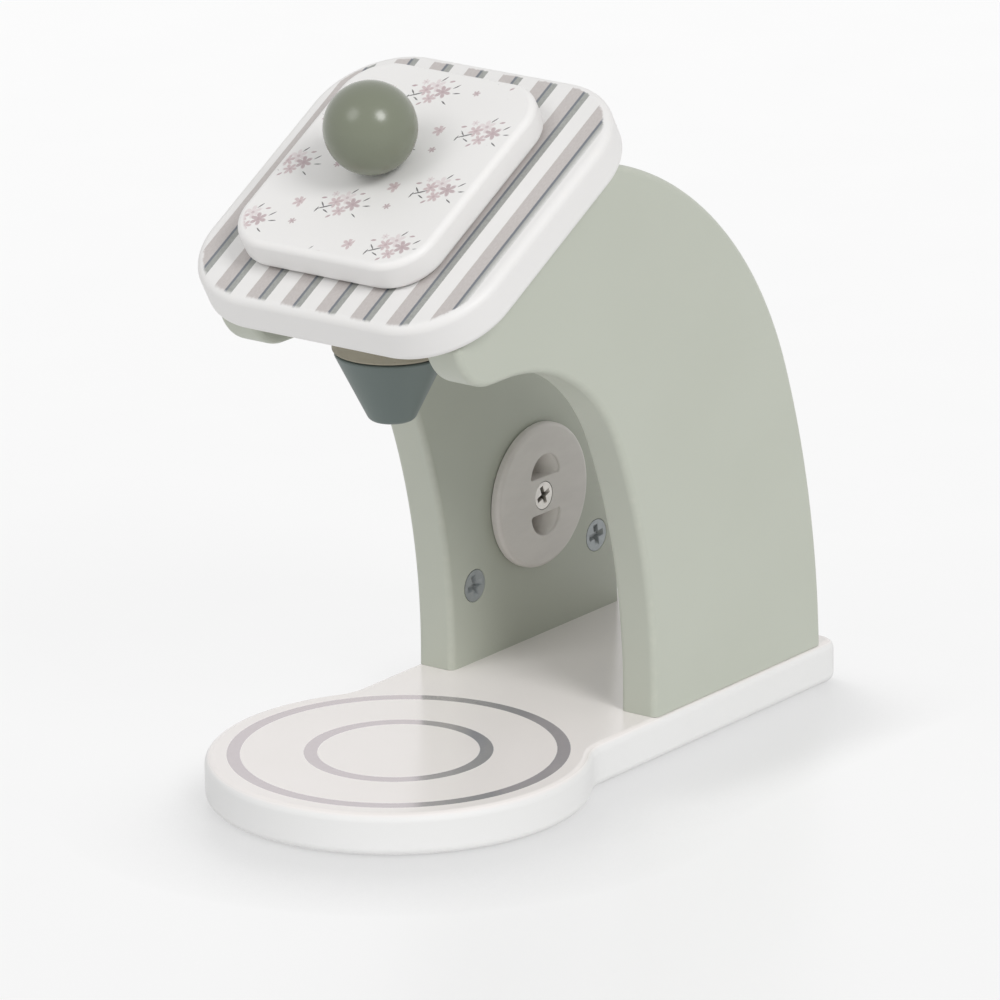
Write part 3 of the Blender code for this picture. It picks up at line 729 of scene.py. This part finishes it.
tile_width, tile_length, tile_thickness, tile_corner = 0.0637, 0.0737, 0.009, 0.0134
lid_across, tile_rest, tile_rounding = capsule_across, 0.0123, 0.002
tile_white, tree, shader, place = new_material("tile_white")
local = on_slope(tree, place, lid_across, tile_rest)
parts = tree.split(local)
repeat_x, repeat_y = 0.0242, 0.0226
column = tree.over(tree.plus(parts["X"], 0.3 + 0.0050), repeat_x)
odd = tree.math("MODULO", tree.math("FLOOR", column), 2.0)
row = tree.plus(tree.over(tree.plus(parts["Y"], 0.3), repeat_y), tree.times(odd, 0.5))
swing = tree.waver(0.0, tree.noise(local, 800.0, 1.0), 0.0003)
sprig_place = tree.join(tree.waver(swing, tree.math("FRACT", column), repeat_x),
    tree.waver(swing, tree.math("FRACT", row), repeat_y))
edge = tree.group(inside_edge, {"Vector": local, "Half Width": tile_width / 2,
        "Half Length": tile_length / 2, "Corner": tile_corner})["Distance"]
shown = tree.times(tree.smooth(edge, 0.0016, 0.0030),
    tree.above(parts["Z"], tile_thickness - 0.0006))
shown = tree.times(shown, tree.smooth(tree.noise(local, 3000.0, 2.0), 0.25, 0.55, 0.72, 1.0))
colour = (0.830, 0.820, 0.810, 1.0)
mauve, pink, pale, dark = ((0.46, 0.345, 0.365, 1.0), (0.57, 0.445, 0.460, 1.0),
    (0.72, 0.65, 0.655, 1.0), (0.085, 0.080, 0.085, 1.0))
leaves = ((-4.6, -1.9, 2.9, 0.24, 0.55, dark), (-5.9, -1.2, 1.3, 0.21, -0.75, dark),
    (-6.6, -3.4, 1.2, 0.21, 1.45, dark), (-3.6, -3.4, 1.2, 0.21, -0.4, dark),
    (5.9, 3.4, 1.3, 0.21, 0.9, dark), (7.3, 1.0, 1.2, 0.21, 0.25, dark),
    (0.6, 5.4, 1.3, 0.21, 1.1, dark), (5.6, -3.1, 1.2, 0.21, -0.5, dark),
    (-1.6, -5.0, 0.9, 0.34, 0.9, mauve), (3.4, 5.0, 0.9, 0.34, 0.4, mauve),
    (-6.9, 1.2, 0.9, 0.36, 0.3, mauve))
for x, y, length, width, turn, shade in leaves:
    mask = tree.group(lens, {"Vector": sprig_place, "Middle": (x / 1000, y / 1000, 0),
            "Half Length": length / 1000, "Half Width": width / 1000, "Turn": turn})["Mask"]
    colour = tree.mix(tree.times(mask, shown, 0.95), colour, shade)
flowers = ((-0.2, 2.6, 2.7, 0.2, pale), (-2.5, 0.4, 2.3, 0.5, pink), (2.9, 0.7, 2.6, 0.1, mauve),
    (0.3, -2.5, 2.1, 0.8, pink), (-4.4, 3.2, 1.2, 0.4, pale), (11.0, 9.6, 2.3, 0.3, pink),
    (-11.0, -9.0, 1.2, 0.6, mauve))
for x, y, radius, turn, shade in flowers:
    made = tree.group(flower, {"Vector": sprig_place, "Middle": (x / 1000, y / 1000, 0),
            "Radius": radius / 1000, "Turn": turn})
    colour = tree.mix(tree.times(made["Petals"], shown, 0.85), colour, shade)
    colour = tree.mix(tree.times(made["Heart"], shown, 0.55), colour, mauve)
spray(tree, shader, place, colour, 0.42, (14.0, 120.0, 120.0), 0.3)
tile = board([(rounded(tile_width, tile_length, tile_corner), tile_rounding)], tile_thickness)
fit(tile.piece("lid_tile_fine", tile_white, slope_place(lid_across, tile_rest)), "lid_tile",
    "lid")

plug_radius, plug_depth, plug_rest = 0.0218, 0.010, 0.002
plug = Surface()
plug.spin(joined([
    line((0.0042, 0), (plug_radius - 0.001, 0)),
    arc((plug_radius - 0.001, 0.001), 0.001, -pi / 2, 0),
    *lines((plug_radius, 0.001), (plug_radius, plug_depth), (screw_bore, plug_depth),
        (screw_bore, 0.0023), (0.0042, 0)),
], 0.0002), 128, True, on_rounding)
fit(plug.piece("lid_plug_fine", wooden("plug_beech", (13.0, 170.0, 170.0)),
        slope_place(lid_across, plug_rest)), "lid_plug", "lid")

ball_radius, ball_flat, ball_level = 0.0127, 0.0006, 0.0337
ball = Surface()
ball_start = -asin((ball_radius - ball_flat) / ball_radius)
ball_rim = ball_radius * cos(ball_start)
ball.spin(joined([
    line((0, ball_flat - ball_radius), (ball_rim, ball_flat - ball_radius)),
    arc((0, 0), ball_radius, ball_start, pi / 2),
], 0.0002, False), 160)
moss = painted("ball_moss", (0.189, 0.206, 0.151, 1.0), 0.165, (60.0, 150.0, 60.0), 1.8)
fit(ball.piece("ball_knob_fine", moss, slope_place(lid_across, ball_level)), "ball_knob",
    "lid")

# ---------------------------------------------------------------- Dial
# A grey plastic hub turns in the left panel; its flange shows inside, with a hollow on either side
# of a bar. A thin wooden plate backs it outside, and a slate knob with a grip is screwed onto it.

hub_face, hub_end, flange_radius, hub_radius = 0.003, -0.0163, 0.02065, 0.014
flange_rounding, well_floor = 0.0014, -0.011
well_radius, well_bar, well_shift = 0.0064, 0.0106, 0.001
hub = Surface()
rows = hub.spin(joined([
    *lines((0, hub_end), (hub_radius, hub_end), (hub_radius, 0.0003), (flange_radius, 0.0003),
        (flange_radius, hub_face - flange_rounding)),
    arc((flange_radius - flange_rounding, hub_face - flange_rounding), flange_rounding, 0,
        pi / 2),
], 0.0002, False), 160)
rings = [rows[-1]]
lip, scoop_reach, scoop_depth = 0.0005, 0.0050, 0.0055
for side in (1, -1):
    bar, start = side * well_bar / 2, pi if side > 0 else tau
    well = joined([
        line((well_shift + side * well_radius, bar), (well_shift - side * well_radius, bar)),
        arc((well_shift, bar), well_radius, start, start - pi),
    ], 0.0009)
    stages = [(lip * (1 - sin(turn)), lip * (1 - cos(turn)), 0.0)
        for turn in (step * pi / 12 for step in range(7))]
    stages += [(0.0, lip + scoop_depth * (1 - cos(turn)), scoop_reach * sin(turn))
        for turn in (step * pi / 24 for step in range(1, 13))]
    stages.append((0.0, hub_face - well_floor, scoop_reach))
    rows = []
    for inset, depth, squeeze in stages:
        front = well_shift - well_radius
        row = []
        for point, normal, reach, mitre in well:
            spot = point - normal * inset
            spot.x = front + (spot.x - front) * (1 - squeeze / (2 * well_radius))
            row.append(Vector((*spot, hub_face - depth)))
        rows.append(row)
    made = []
    for index, row in enumerate(rows):
        above, below = rows[max(0, index - 1)], rows[min(len(rows) - 1, index + 1)]
        ring = []
        for step, spot in enumerate(row):
            along = row[(step + 1) % len(row)] - row[step - 1]
            down = below[step] - above[step]
            if index == 0:
                facing = Vector((0, 0, 1))
            else:
                facing = along.cross(down).normalized()
                facing *= 1 if facing.xy.dot(well[step][1]) > 0 else -1
            ring.append(hub.point(spot, facing))
        made.append(ring)
    hub.cover(made[::-1])
    rings.append(made[0])
    hub.flat([[hub.point(hub.points[corner], (0, 0, 1)) for corner in made[-1]]], (0, 0, 1))
screw_seat = hub.wall(hole(0, 0, 0.0041), [(0.0, hub_face - 0.002, 0.0, 0.0),
        (0.0, hub_face, 0.0, 0.0)])
rings.append([hub.point(hub.points[corner], (0, 0, 1)) for corner in screw_seat[-1]])
hub.flat(rings, (0, 0, 1))

# Moulded plastic: an even tone, a fine spark finish and a few soft flow marks
grey_plastic, tree, shader, place = new_material("hub_grey")
flow = tree.noise(tree.vector("MULTIPLY", place, (1.0, 1.0, 3.0)), 70.0, 3.0, 0.6)
spark = tree.noise(place, 4200.0, 2.0, 0.6)
tree.give(shader.inputs["Base Color"], tree.mix(tree.smooth(flow, 0.3, 0.75),
        (0.760, 0.725, 0.695, 1.0), (0.720, 0.686, 0.658, 1.0)))
tree.give(shader.inputs["Roughness"], tree.times_plus(spark, 0.12, 0.36))
tree.give(shader.inputs["Normal"], tree.bump(0.4, 0.00001, spark))
dial_inner = Matrix.Translation((0, dial_y, dial_z)) @ side_place(-panel_inner)
fit(hub.piece("dial_hub_fine", grey_plastic, dial_inner), "dial_hub", "dial")

back_white = painted("back_plate_white", (0.80, 0.785, 0.765, 1.0), 0.34, (120.0, 12.0, 120.0))
back_width, back_height, back_corner, back_thickness = 0.066, 0.050, 0.012, 0.004
back_drop, back_level = 0.0045, -0.0453
back_plate = board([(rounded(back_width, back_height, back_corner), 0.001),
        (hole(0, back_drop, dial_bore), 0.0003)], back_thickness)
back_place = Matrix.Translation((0, dial_y, dial_z - back_drop)) @ side_place(back_level)
fit(back_plate.piece("dial_back_plate_fine", back_white, back_place), "dial_back_plate")

knob_radius, knob_thickness, knob_rounding, knob_level = 0.018, 0.007, 0.0015, -0.0456
grip_width, grip_length, grip_corner, grip_rise = 0.009, 0.033, 0.00375, 0.0075
knob = Surface()
knob.spin(joined([
    *lines((0, 0), (knob_radius, 0), (knob_radius, knob_thickness - knob_rounding)),
    arc((knob_radius - knob_rounding, knob_thickness - knob_rounding), knob_rounding, 0,
        pi / 2),
    line((knob_radius - knob_rounding, knob_thickness), (0, knob_thickness)),
], 0.0003, False), 128, False, on_rounding)
grip_rim = round_rim(knob_rounding, knob_thickness / 2, knob_thickness + grip_rise)
grip = knob.wall(rounded(grip_width, grip_length, grip_corner), grip_rim)
knob.flat([grip[-1]], (0, 0, 1))
knob_slate = painted("knob_slate", (0.132, 0.166, 0.157, 1.0), 0.36, (14.0, 90.0, 90.0))
dial_outer = Matrix.Translation((0, dial_y, dial_z)) @ side_place(knob_level)
dial_outer = dial_outer @ Matrix.Rotation(pi, 4, "Y")
fit(knob.piece("dial_knob_fine", knob_slate, dial_outer), "dial_knob", "dial")

# ---------------------------------------------------------------- Screws
# Countersunk cross head wood screws: blue zinc ones in the panel, the base, the bridge board and
# the lid, and a bright one in the dial. Each has a rolled thread and a sloping cross recess.


class Shape(Tree):
    """A geometry node tree with named inputs."""

    def __init__(self, name, inputs):
        group = bpy.data.node_groups.new(name, "GeometryNodeTree")
        for socket_name, value in inputs:
            kind = "Material" if value is None else "Int" if isinstance(value, int) else "Float"
            socket = group.interface.new_socket(socket_name, in_out="INPUT",
                socket_type="NodeSocket" + kind)
            if value is not None:
                socket.default_value = value
        group.interface.new_socket("Geometry", in_out="OUTPUT", socket_type="NodeSocketGeometry")
        super().__init__(group)
        self.given = group.nodes.new("NodeGroupInput").outputs
        self.end = group.nodes.new("NodeGroupOutput")

    def mesh(self, kind, values=None, **settings):
        made = self.node(kind, values, **settings)
        return next(socket for socket in made.outputs
            if socket.type == "GEOMETRY" and socket.enabled)

    def moved(self, geometry, z, turn=(0.0, 0.0, 0.0)):
        return self.mesh("GeometryNodeTransform", {"Geometry": geometry,
                "Translation": self.join(z=z), "Rotation": turn})

    def close(self, geometry):
        real = self.mesh("GeometryNodeRealizeInstances", {"Geometry": geometry})
        done = self.mesh("GeometryNodeSetMaterial",
            {"Geometry": real, "Material": self.given["Material"]})
        self.give(self.end.inputs[0], done)

    def make(self, name, values, material, place):
        """Run the tree once and keep what it makes as a plain mesh, in its place."""
        seed = new_object(name, bpy.data.meshes.new(name))
        modifier = seed.modifiers.new("shape", "NODES")
        modifier.node_group = self.tree
        for item in self.tree.interface.items_tree:
            if item.in_out == "INPUT":
                modifier[item.identifier] = (
                    material if item.name == "Material" else values[item.name])
        seed.update_tag()
        bpy.context.view_layer.update()
        mesh = bpy.data.meshes.new_from_object(
            seed.evaluated_get(bpy.context.evaluated_depsgraph_get()))
        seed.modifiers.clear()
        mesh.transform(place)
        mesh.shade_smooth()
        mesh.set_sharp_from_angle(angle=radians(32))
        seed.data = mesh
        return seed


screw = Shape("screw", [("Head Radius", 0.0044), ("Shank Radius", 0.002), ("Length", 0.015),
        ("Pitch", 0.0013), ("Recess Depth", 0.5), ("Arm Width", 0.27), ("Material", None)])
head, shank, length, pitch, sinking, arm_width = (screw.given[name] for name in (
    "Head Radius", "Shank Radius", "Length", "Pitch", "Recess Depth", "Arm Width"))
head_height = screw.minus(head, shank)
head_cone = screw.mesh("GeometryNodeMeshCone",
    {"Vertices": 64, "Side Segments": 1, "Fill Segments": 1, "Radius Top": head,
        "Radius Bottom": shank, "Depth": head_height})
head_cone = screw.moved(head_cone, screw.minus(-0.0001, head_height))
arm = screw.mesh("GeometryNodeMeshCone", {"Vertices": 4, "Radius Top": screw.times(head, 1.10),
        "Radius Bottom": screw.times(head, 0.50), "Depth": screw.times(head, sinking)})
arm = screw.moved(arm, screw.times(head, screw.minus(0.04, sinking)), turn=(0.0, 0.0, pi / 4))
thin = screw.join(1.0, arm_width, 1.0)
slim = screw.mesh("GeometryNodeTransform", {"Geometry": arm, "Scale": thin})
cross = screw.node("GeometryNodeTransform", {"Geometry": slim,
        "Rotation": (0.0, 0.0, pi / 2)}).outputs[0]
cut = screw.node("GeometryNodeMeshBoolean", operation="DIFFERENCE", solver="EXACT")
screw.give(cut.inputs["Mesh 1"], head_cone)
for recess in (slim, cross):
    screw.tree.links.new(recess, cut.inputs["Mesh 2"])
level = screw.split(screw.node("GeometryNodeInputPosition").outputs[0])["Z"]
# How deep a point lies in the head, for painted shade in the recess
sunk = screw.smooth(screw.over(level, head), -0.04, -0.30)
cut = screw.mesh("GeometryNodeStoreNamedAttribute",
    {"Geometry": cut.outputs["Mesh"], "Name": "sunk", "Value": sunk}, data_type="FLOAT",
    domain="POINT")
core = screw.times(shank, 0.74)
shoulder = screw.times(shank, 1.2)
straight = screw.minus(screw.minus(length, shoulder), head_height)
rod = screw.mesh("GeometryNodeMeshCylinder", {"Vertices": 32, "Radius": core, "Depth": straight})
rod = screw.moved(rod, screw.minus(screw.times(straight, -0.5), head_height))
tip = screw.mesh("GeometryNodeMeshCone", {"Vertices": 32, "Radius Top": core,
        "Radius Bottom": 0.0001, "Depth": shoulder})
tip = screw.moved(tip, screw.times(length, -1.0))
threaded = screw.times(straight, 0.9)
spiral = screw.mesh("GeometryNodeCurveSpiral",
    {"Resolution": 24, "Rotations": screw.over(threaded, pitch), "Start Radius": core,
        "End Radius": core, "Height": threaded})
spiral = screw.moved(spiral, screw.minus(shoulder, length))
ridge = screw.node("GeometryNodeCurvePrimitiveCircle",
    {"Resolution": 3, "Radius": screw.times(shank, 0.24)}).outputs[0]
thread = screw.mesh("GeometryNodeCurveToMesh", {"Curve": spiral, "Profile Curve": ridge})
together = screw.node("GeometryNodeJoinGeometry")
for part in (cut, rod, tip, thread):
    screw.tree.links.new(part, together.inputs[0])
screw.close(together.outputs[0])

# Plated steel: a cloudy bluish film, turning marks round the head and small dark pits
plated, tree, given, result = new_group("plated",
    [("Vector", (0.0, 0.0, 0.0)), ("Colour", (0.5, 0.5, 0.5, 1.0)),
        ("Film", (0.4, 0.45, 0.55, 1.0)), ("Shade", 0.0)], ("Colour", "Roughness", "Normal"))
cloud = tree.noise(given["Vector"], 520.0, 3.0, 0.6)
pits = tree.smooth(tree.noise(given["Vector"], 3600.0, 2.0), 0.62, 0.72)
film = tree.mix(cloud, given["Colour"], given["Film"])
film = tree.mix(tree.times(pits, 0.30), film, (0.14, 0.14, 0.145, 1.0))
# Shade mixes the colour towards a dark brown: painted shade in the recess.
tree.give(result["Colour"], tree.mix(given["Shade"], film, (0.055, 0.045, 0.035, 1.0)))
tree.give(result["Roughness"], tree.times_plus(cloud, 0.20, 0.38))
tree.give(result["Normal"], tree.bump(0.5, 0.00002, cloud))


def steel(name, colour, film, shade, metallic):
    """A material of plated steel, darkened deeper in its recess by painted shade."""
    material, tree, shader, place = new_material(name)
    recess_shade = tree.times(tree.attribute("sunk"), shade)
    dress(tree, shader, tree.group(plated, {"Vector": place, "Colour": colour, "Film": film,
                "Shade": recess_shade}))
    shader.inputs["Metallic"].default_value = metallic
    return material


zinc = steel("zinc", (0.40, 0.425, 0.43, 1.0), (0.33, 0.355, 0.37, 1.0), 0.10, 0.55)
bright = steel("bright_steel", (0.80, 0.77, 0.72, 1.0), (0.66, 0.64, 0.62, 1.0), 0.88, 1.0)
downwards = Matrix.Rotation(pi, 4, "X")
zinc_size = {"Head Radius": 0.00455, "Shank Radius": 0.002, "Length": 0.015, "Pitch": 0.0013,
    "Recess Depth": 0.34, "Arm Width": 0.30}
long_size = {"Head Radius": 0.0039, "Shank Radius": 0.00175, "Length": 0.030, "Pitch": 0.0012,
    "Recess Depth": 0.60, "Arm Width": 0.25}
screws = [("nozzle_screw", long_size, zinc, Matrix.Translation((0, 0, bridge_top)), "zinc_steel",
        "body"), ("lid_knob_screw", long_size, zinc, slope_place(lid_across, plug_rest) @ downwards,
        "zinc_steel", "lid"), ("dial_screw", long_size, bright,
        dial_inner @ Matrix.Translation((0, 0, hub_face)) @ Matrix.Rotation(0.35, 4, "Z"),
        "bright_steel", "dial")]
for name, (y, z), turn in zip(("front", "rear"), back_screws, (0.2, 0.12)):
    screws.append(("back_plate_screw_" + name, zinc_size, zinc,
            Matrix.Translation((0, y, z)) @ side_place(-panel_inner)
            @ Matrix.Rotation(turn, 4, "Z"), "zinc_steel", "body"))
for (x, y), turn in zip(foot_screws, (0.5, 1.1, 0.2, 0.9)):
    name = "base_screw_" + ("left_" if x < 0 else "right_") + ("front" if y < 0.1 else "rear")
    screws.append((name, dict(zinc_size, Length=0.040), zinc,
            Matrix.Translation((x, y, 0)) @ downwards @ Matrix.Rotation(turn, 4, "Z"), "zinc_steel",
            "body"))
for name, size, metal, place, slot, body in screws:
    fit(screw.make(name + "_fine", size, metal, place), name, body)

# ---------------------------------------------------------------- Dowels
# Fluted beech dowels, glued: two from each panel into the top plate and two into the bridge
# board. They are pressed with long grooves for the glue, and their ends are chamfered.

dowel = Shape("dowel", [("Radius", 0.003), ("Length", 0.018), ("Flutes", 20), ("Material", None)])
radius, length = dowel.given["Radius"], dowel.given["Length"]
rod = dowel.mesh("GeometryNodeMeshCylinder", {"Vertices": 80, "Side Segments": 36,
        "Fill Segments": 1, "Radius": radius, "Depth": length})
spot = dowel.node("GeometryNodeInputPosition").outputs[0]
parts = dowel.split(spot)
angle = dowel.times(dowel.math("ARCTAN2", parts["Y"], parts["X"]), dowel.given["Flutes"])
groove = dowel.times_plus(dowel.math("COSINE", angle), 0.03, 0.97)
from_end = dowel.minus(dowel.times(length, 0.5), dowel.size(parts["Z"]))
chamfer = dowel.smooth(from_end, -0.0002, 0.0008, 0.78, 1.0)
scale = dowel.times(groove, chamfer)
squeezed = dowel.join(scale, scale, 1.0)
rod = dowel.mesh("GeometryNodeSetPosition", {"Geometry": rod,
        "Position": dowel.vector("MULTIPLY", spot, squeezed)})
dowel.close(dowel.moved(rod, dowel.times(length, 0.5)))

dowel_size = {"Radius": 0.003, "Flutes": 20}
plate_dowel_sink, bridge_dowel_level, bridge_dowel_rear = 0.010, 0.137267, 0.0257
seat_start = nose_front / cos(tilt)
seat_length = (rear_top_y - nose_front) / cos(tilt)
dowel_wood = {"plate": wooden("plate_dowel_beech", (190.0, 60.0, 20.0)),
    "bridge": wooden("bridge_dowel_beech", (14.0, 190.0, 190.0))}
for side, name in ((-1, "left"), (1, "right")):
    middle = side * (panel_inner + panel_thickness / 2)
    ends = []
    for end_name, share in (("front", 0.12), ("rear", 0.80)):
        spot = (plate_seat + slope_way * (seat_start + seat_length * share)
            - slope_normal * plate_dowel_sink)
        ends.append(spot.y)
        place = Matrix.Translation((middle, spot.y, spot.z)) @ Matrix.Rotation(tilt, 4, "X")
        node = "plate_dowel_" + name + "_" + end_name
        fit(dowel.make(node + "_fine", {**dowel_size, "Length": 0.018}, dowel_wood["plate"], place),
            node)
    for end_name, y in (("front", ends[0] + 0.0085), ("rear", bridge_dowel_rear)):
        node = "bridge_dowel_" + name + "_" + end_name
        low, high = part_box(node)
        place = Matrix.Translation((low.x, (low.y + high.y) / 2, bridge_dowel_level))
        place = place @ Matrix.Rotation(pi / 2, 4, "Y")
        fit(dowel.make(node + "_fine", {**dowel_size, "Length": 0.020}, dowel_wood["bridge"],
                place), node)

# ---------------------------------------------------------------- Floor, light and camera
# A smooth pale table with a slight sheen, a soft key lamp from the right, a weaker one from the
# front left and an even room; the camera stands where the photographer stood, with a long lens.

mesh = bpy.data.meshes.new("floor")
mesh.from_pydata([(-9, -9, -0.0003), (9, -9, -0.0003), (9, 9, -0.0003), (-9, 9, -0.0003)], [],
    [(0, 1, 2, 3)])
floor = new_object("floor", mesh)
pale, tree, shader, place = new_material("floor_pale")
tree.give(shader.inputs["Base Color"], tree.mix(tree.seen(), (0.93, 0.93, 0.93, 1.0),
        (0.10, 0.10, 0.10, 1.0)))
# For what the camera sees the table glows; occlusion towards a fixed way behind it dims the glow
# near the machine: a painted contact shadow.
behind = tree.join(-0.55, 0.71, 0.44)
open_side = tree.node("ShaderNodeAmbientOcclusion", {"Distance": 0.045, "Normal": behind},
    samples=12).outputs["AO"]
shaded = tree.smooth(open_side, 0.72, 1.0, 0.80, 1.0)
tree.give(shader.inputs["Emission Strength"], tree.times(tree.seen(), shaded, 0.742))
shader.inputs["IOR"].default_value = 1.3
shader.inputs["Emission Color"].default_value = (1.0, 1.0, 1.0, 1.0)
tree.give(shader.inputs["Roughness"], tree.times_plus(tree.noise(place, 30.0, 2.0), 0.04, 0.33))
mesh.materials.append(pale)
floor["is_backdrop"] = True

turn, lift, roll = radians(37.72), radians(17.57), radians(-0.91)
focal, away, target_x, target_y = 9458.5, 2.5565, 393.80, 749.61
target = Vector((-0.00165, 0, 0.0119))
back = Vector((sin(turn) * cos(lift), -cos(turn) * cos(lift), sin(lift)))
right = Vector((cos(turn), sin(turn), 0))
up = back.cross(right)
camera_x = right * cos(roll) + up * sin(roll)
camera_y = up * cos(roll) - right * sin(roll)
camera = new_object("camera", bpy.data.cameras.new("camera"))
camera.data.sensor_width = 36
camera.data.lens = focal / 1000 * 36
camera.data.clip_start, camera.data.clip_end = 0.1, 50
spot = (target + back * away - camera_x * (away * (target_x - 500) / focal)
    + camera_y * (away * (target_y - 500) / focal))
place = Matrix((camera_x, camera_y, back)).transposed().to_4x4()
place.translation = spot
camera.matrix_world = place
bpy.context.scene.camera = camera
camera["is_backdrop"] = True

for name, way, strength, spread in (("key", (0.724, -0.233, 0.650), 1.30, 22),
        ("fill", (-0.231, -0.728, 0.641), 0.52, 28)):
    lamp = bpy.data.lights.new(name, "SUN")
    lamp.energy = strength
    lamp.angle = radians(spread)
    sun = new_object(name, lamp)
    sun.rotation_euler = Vector(way).to_track_quat("Z", "Y").to_euler()
    sun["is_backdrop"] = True

world = bpy.data.worlds.new("room")
world.use_nodes = True
tree = Tree(world.node_tree)
light = world.node_tree.nodes["Background"]
light.inputs["Color"].default_value = (1.0, 1.0, 1.0, 1.0)
tree.give(light.inputs["Strength"], tree.times_plus(tree.seen(), 0.44, 0.56))
bpy.context.scene.world = world
bpy.context.scene.view_settings.view_transform = "Standard"

size = {"cad": [list(corner) for corner in cad_bounds],
    "finished": [list(corner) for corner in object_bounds()]}
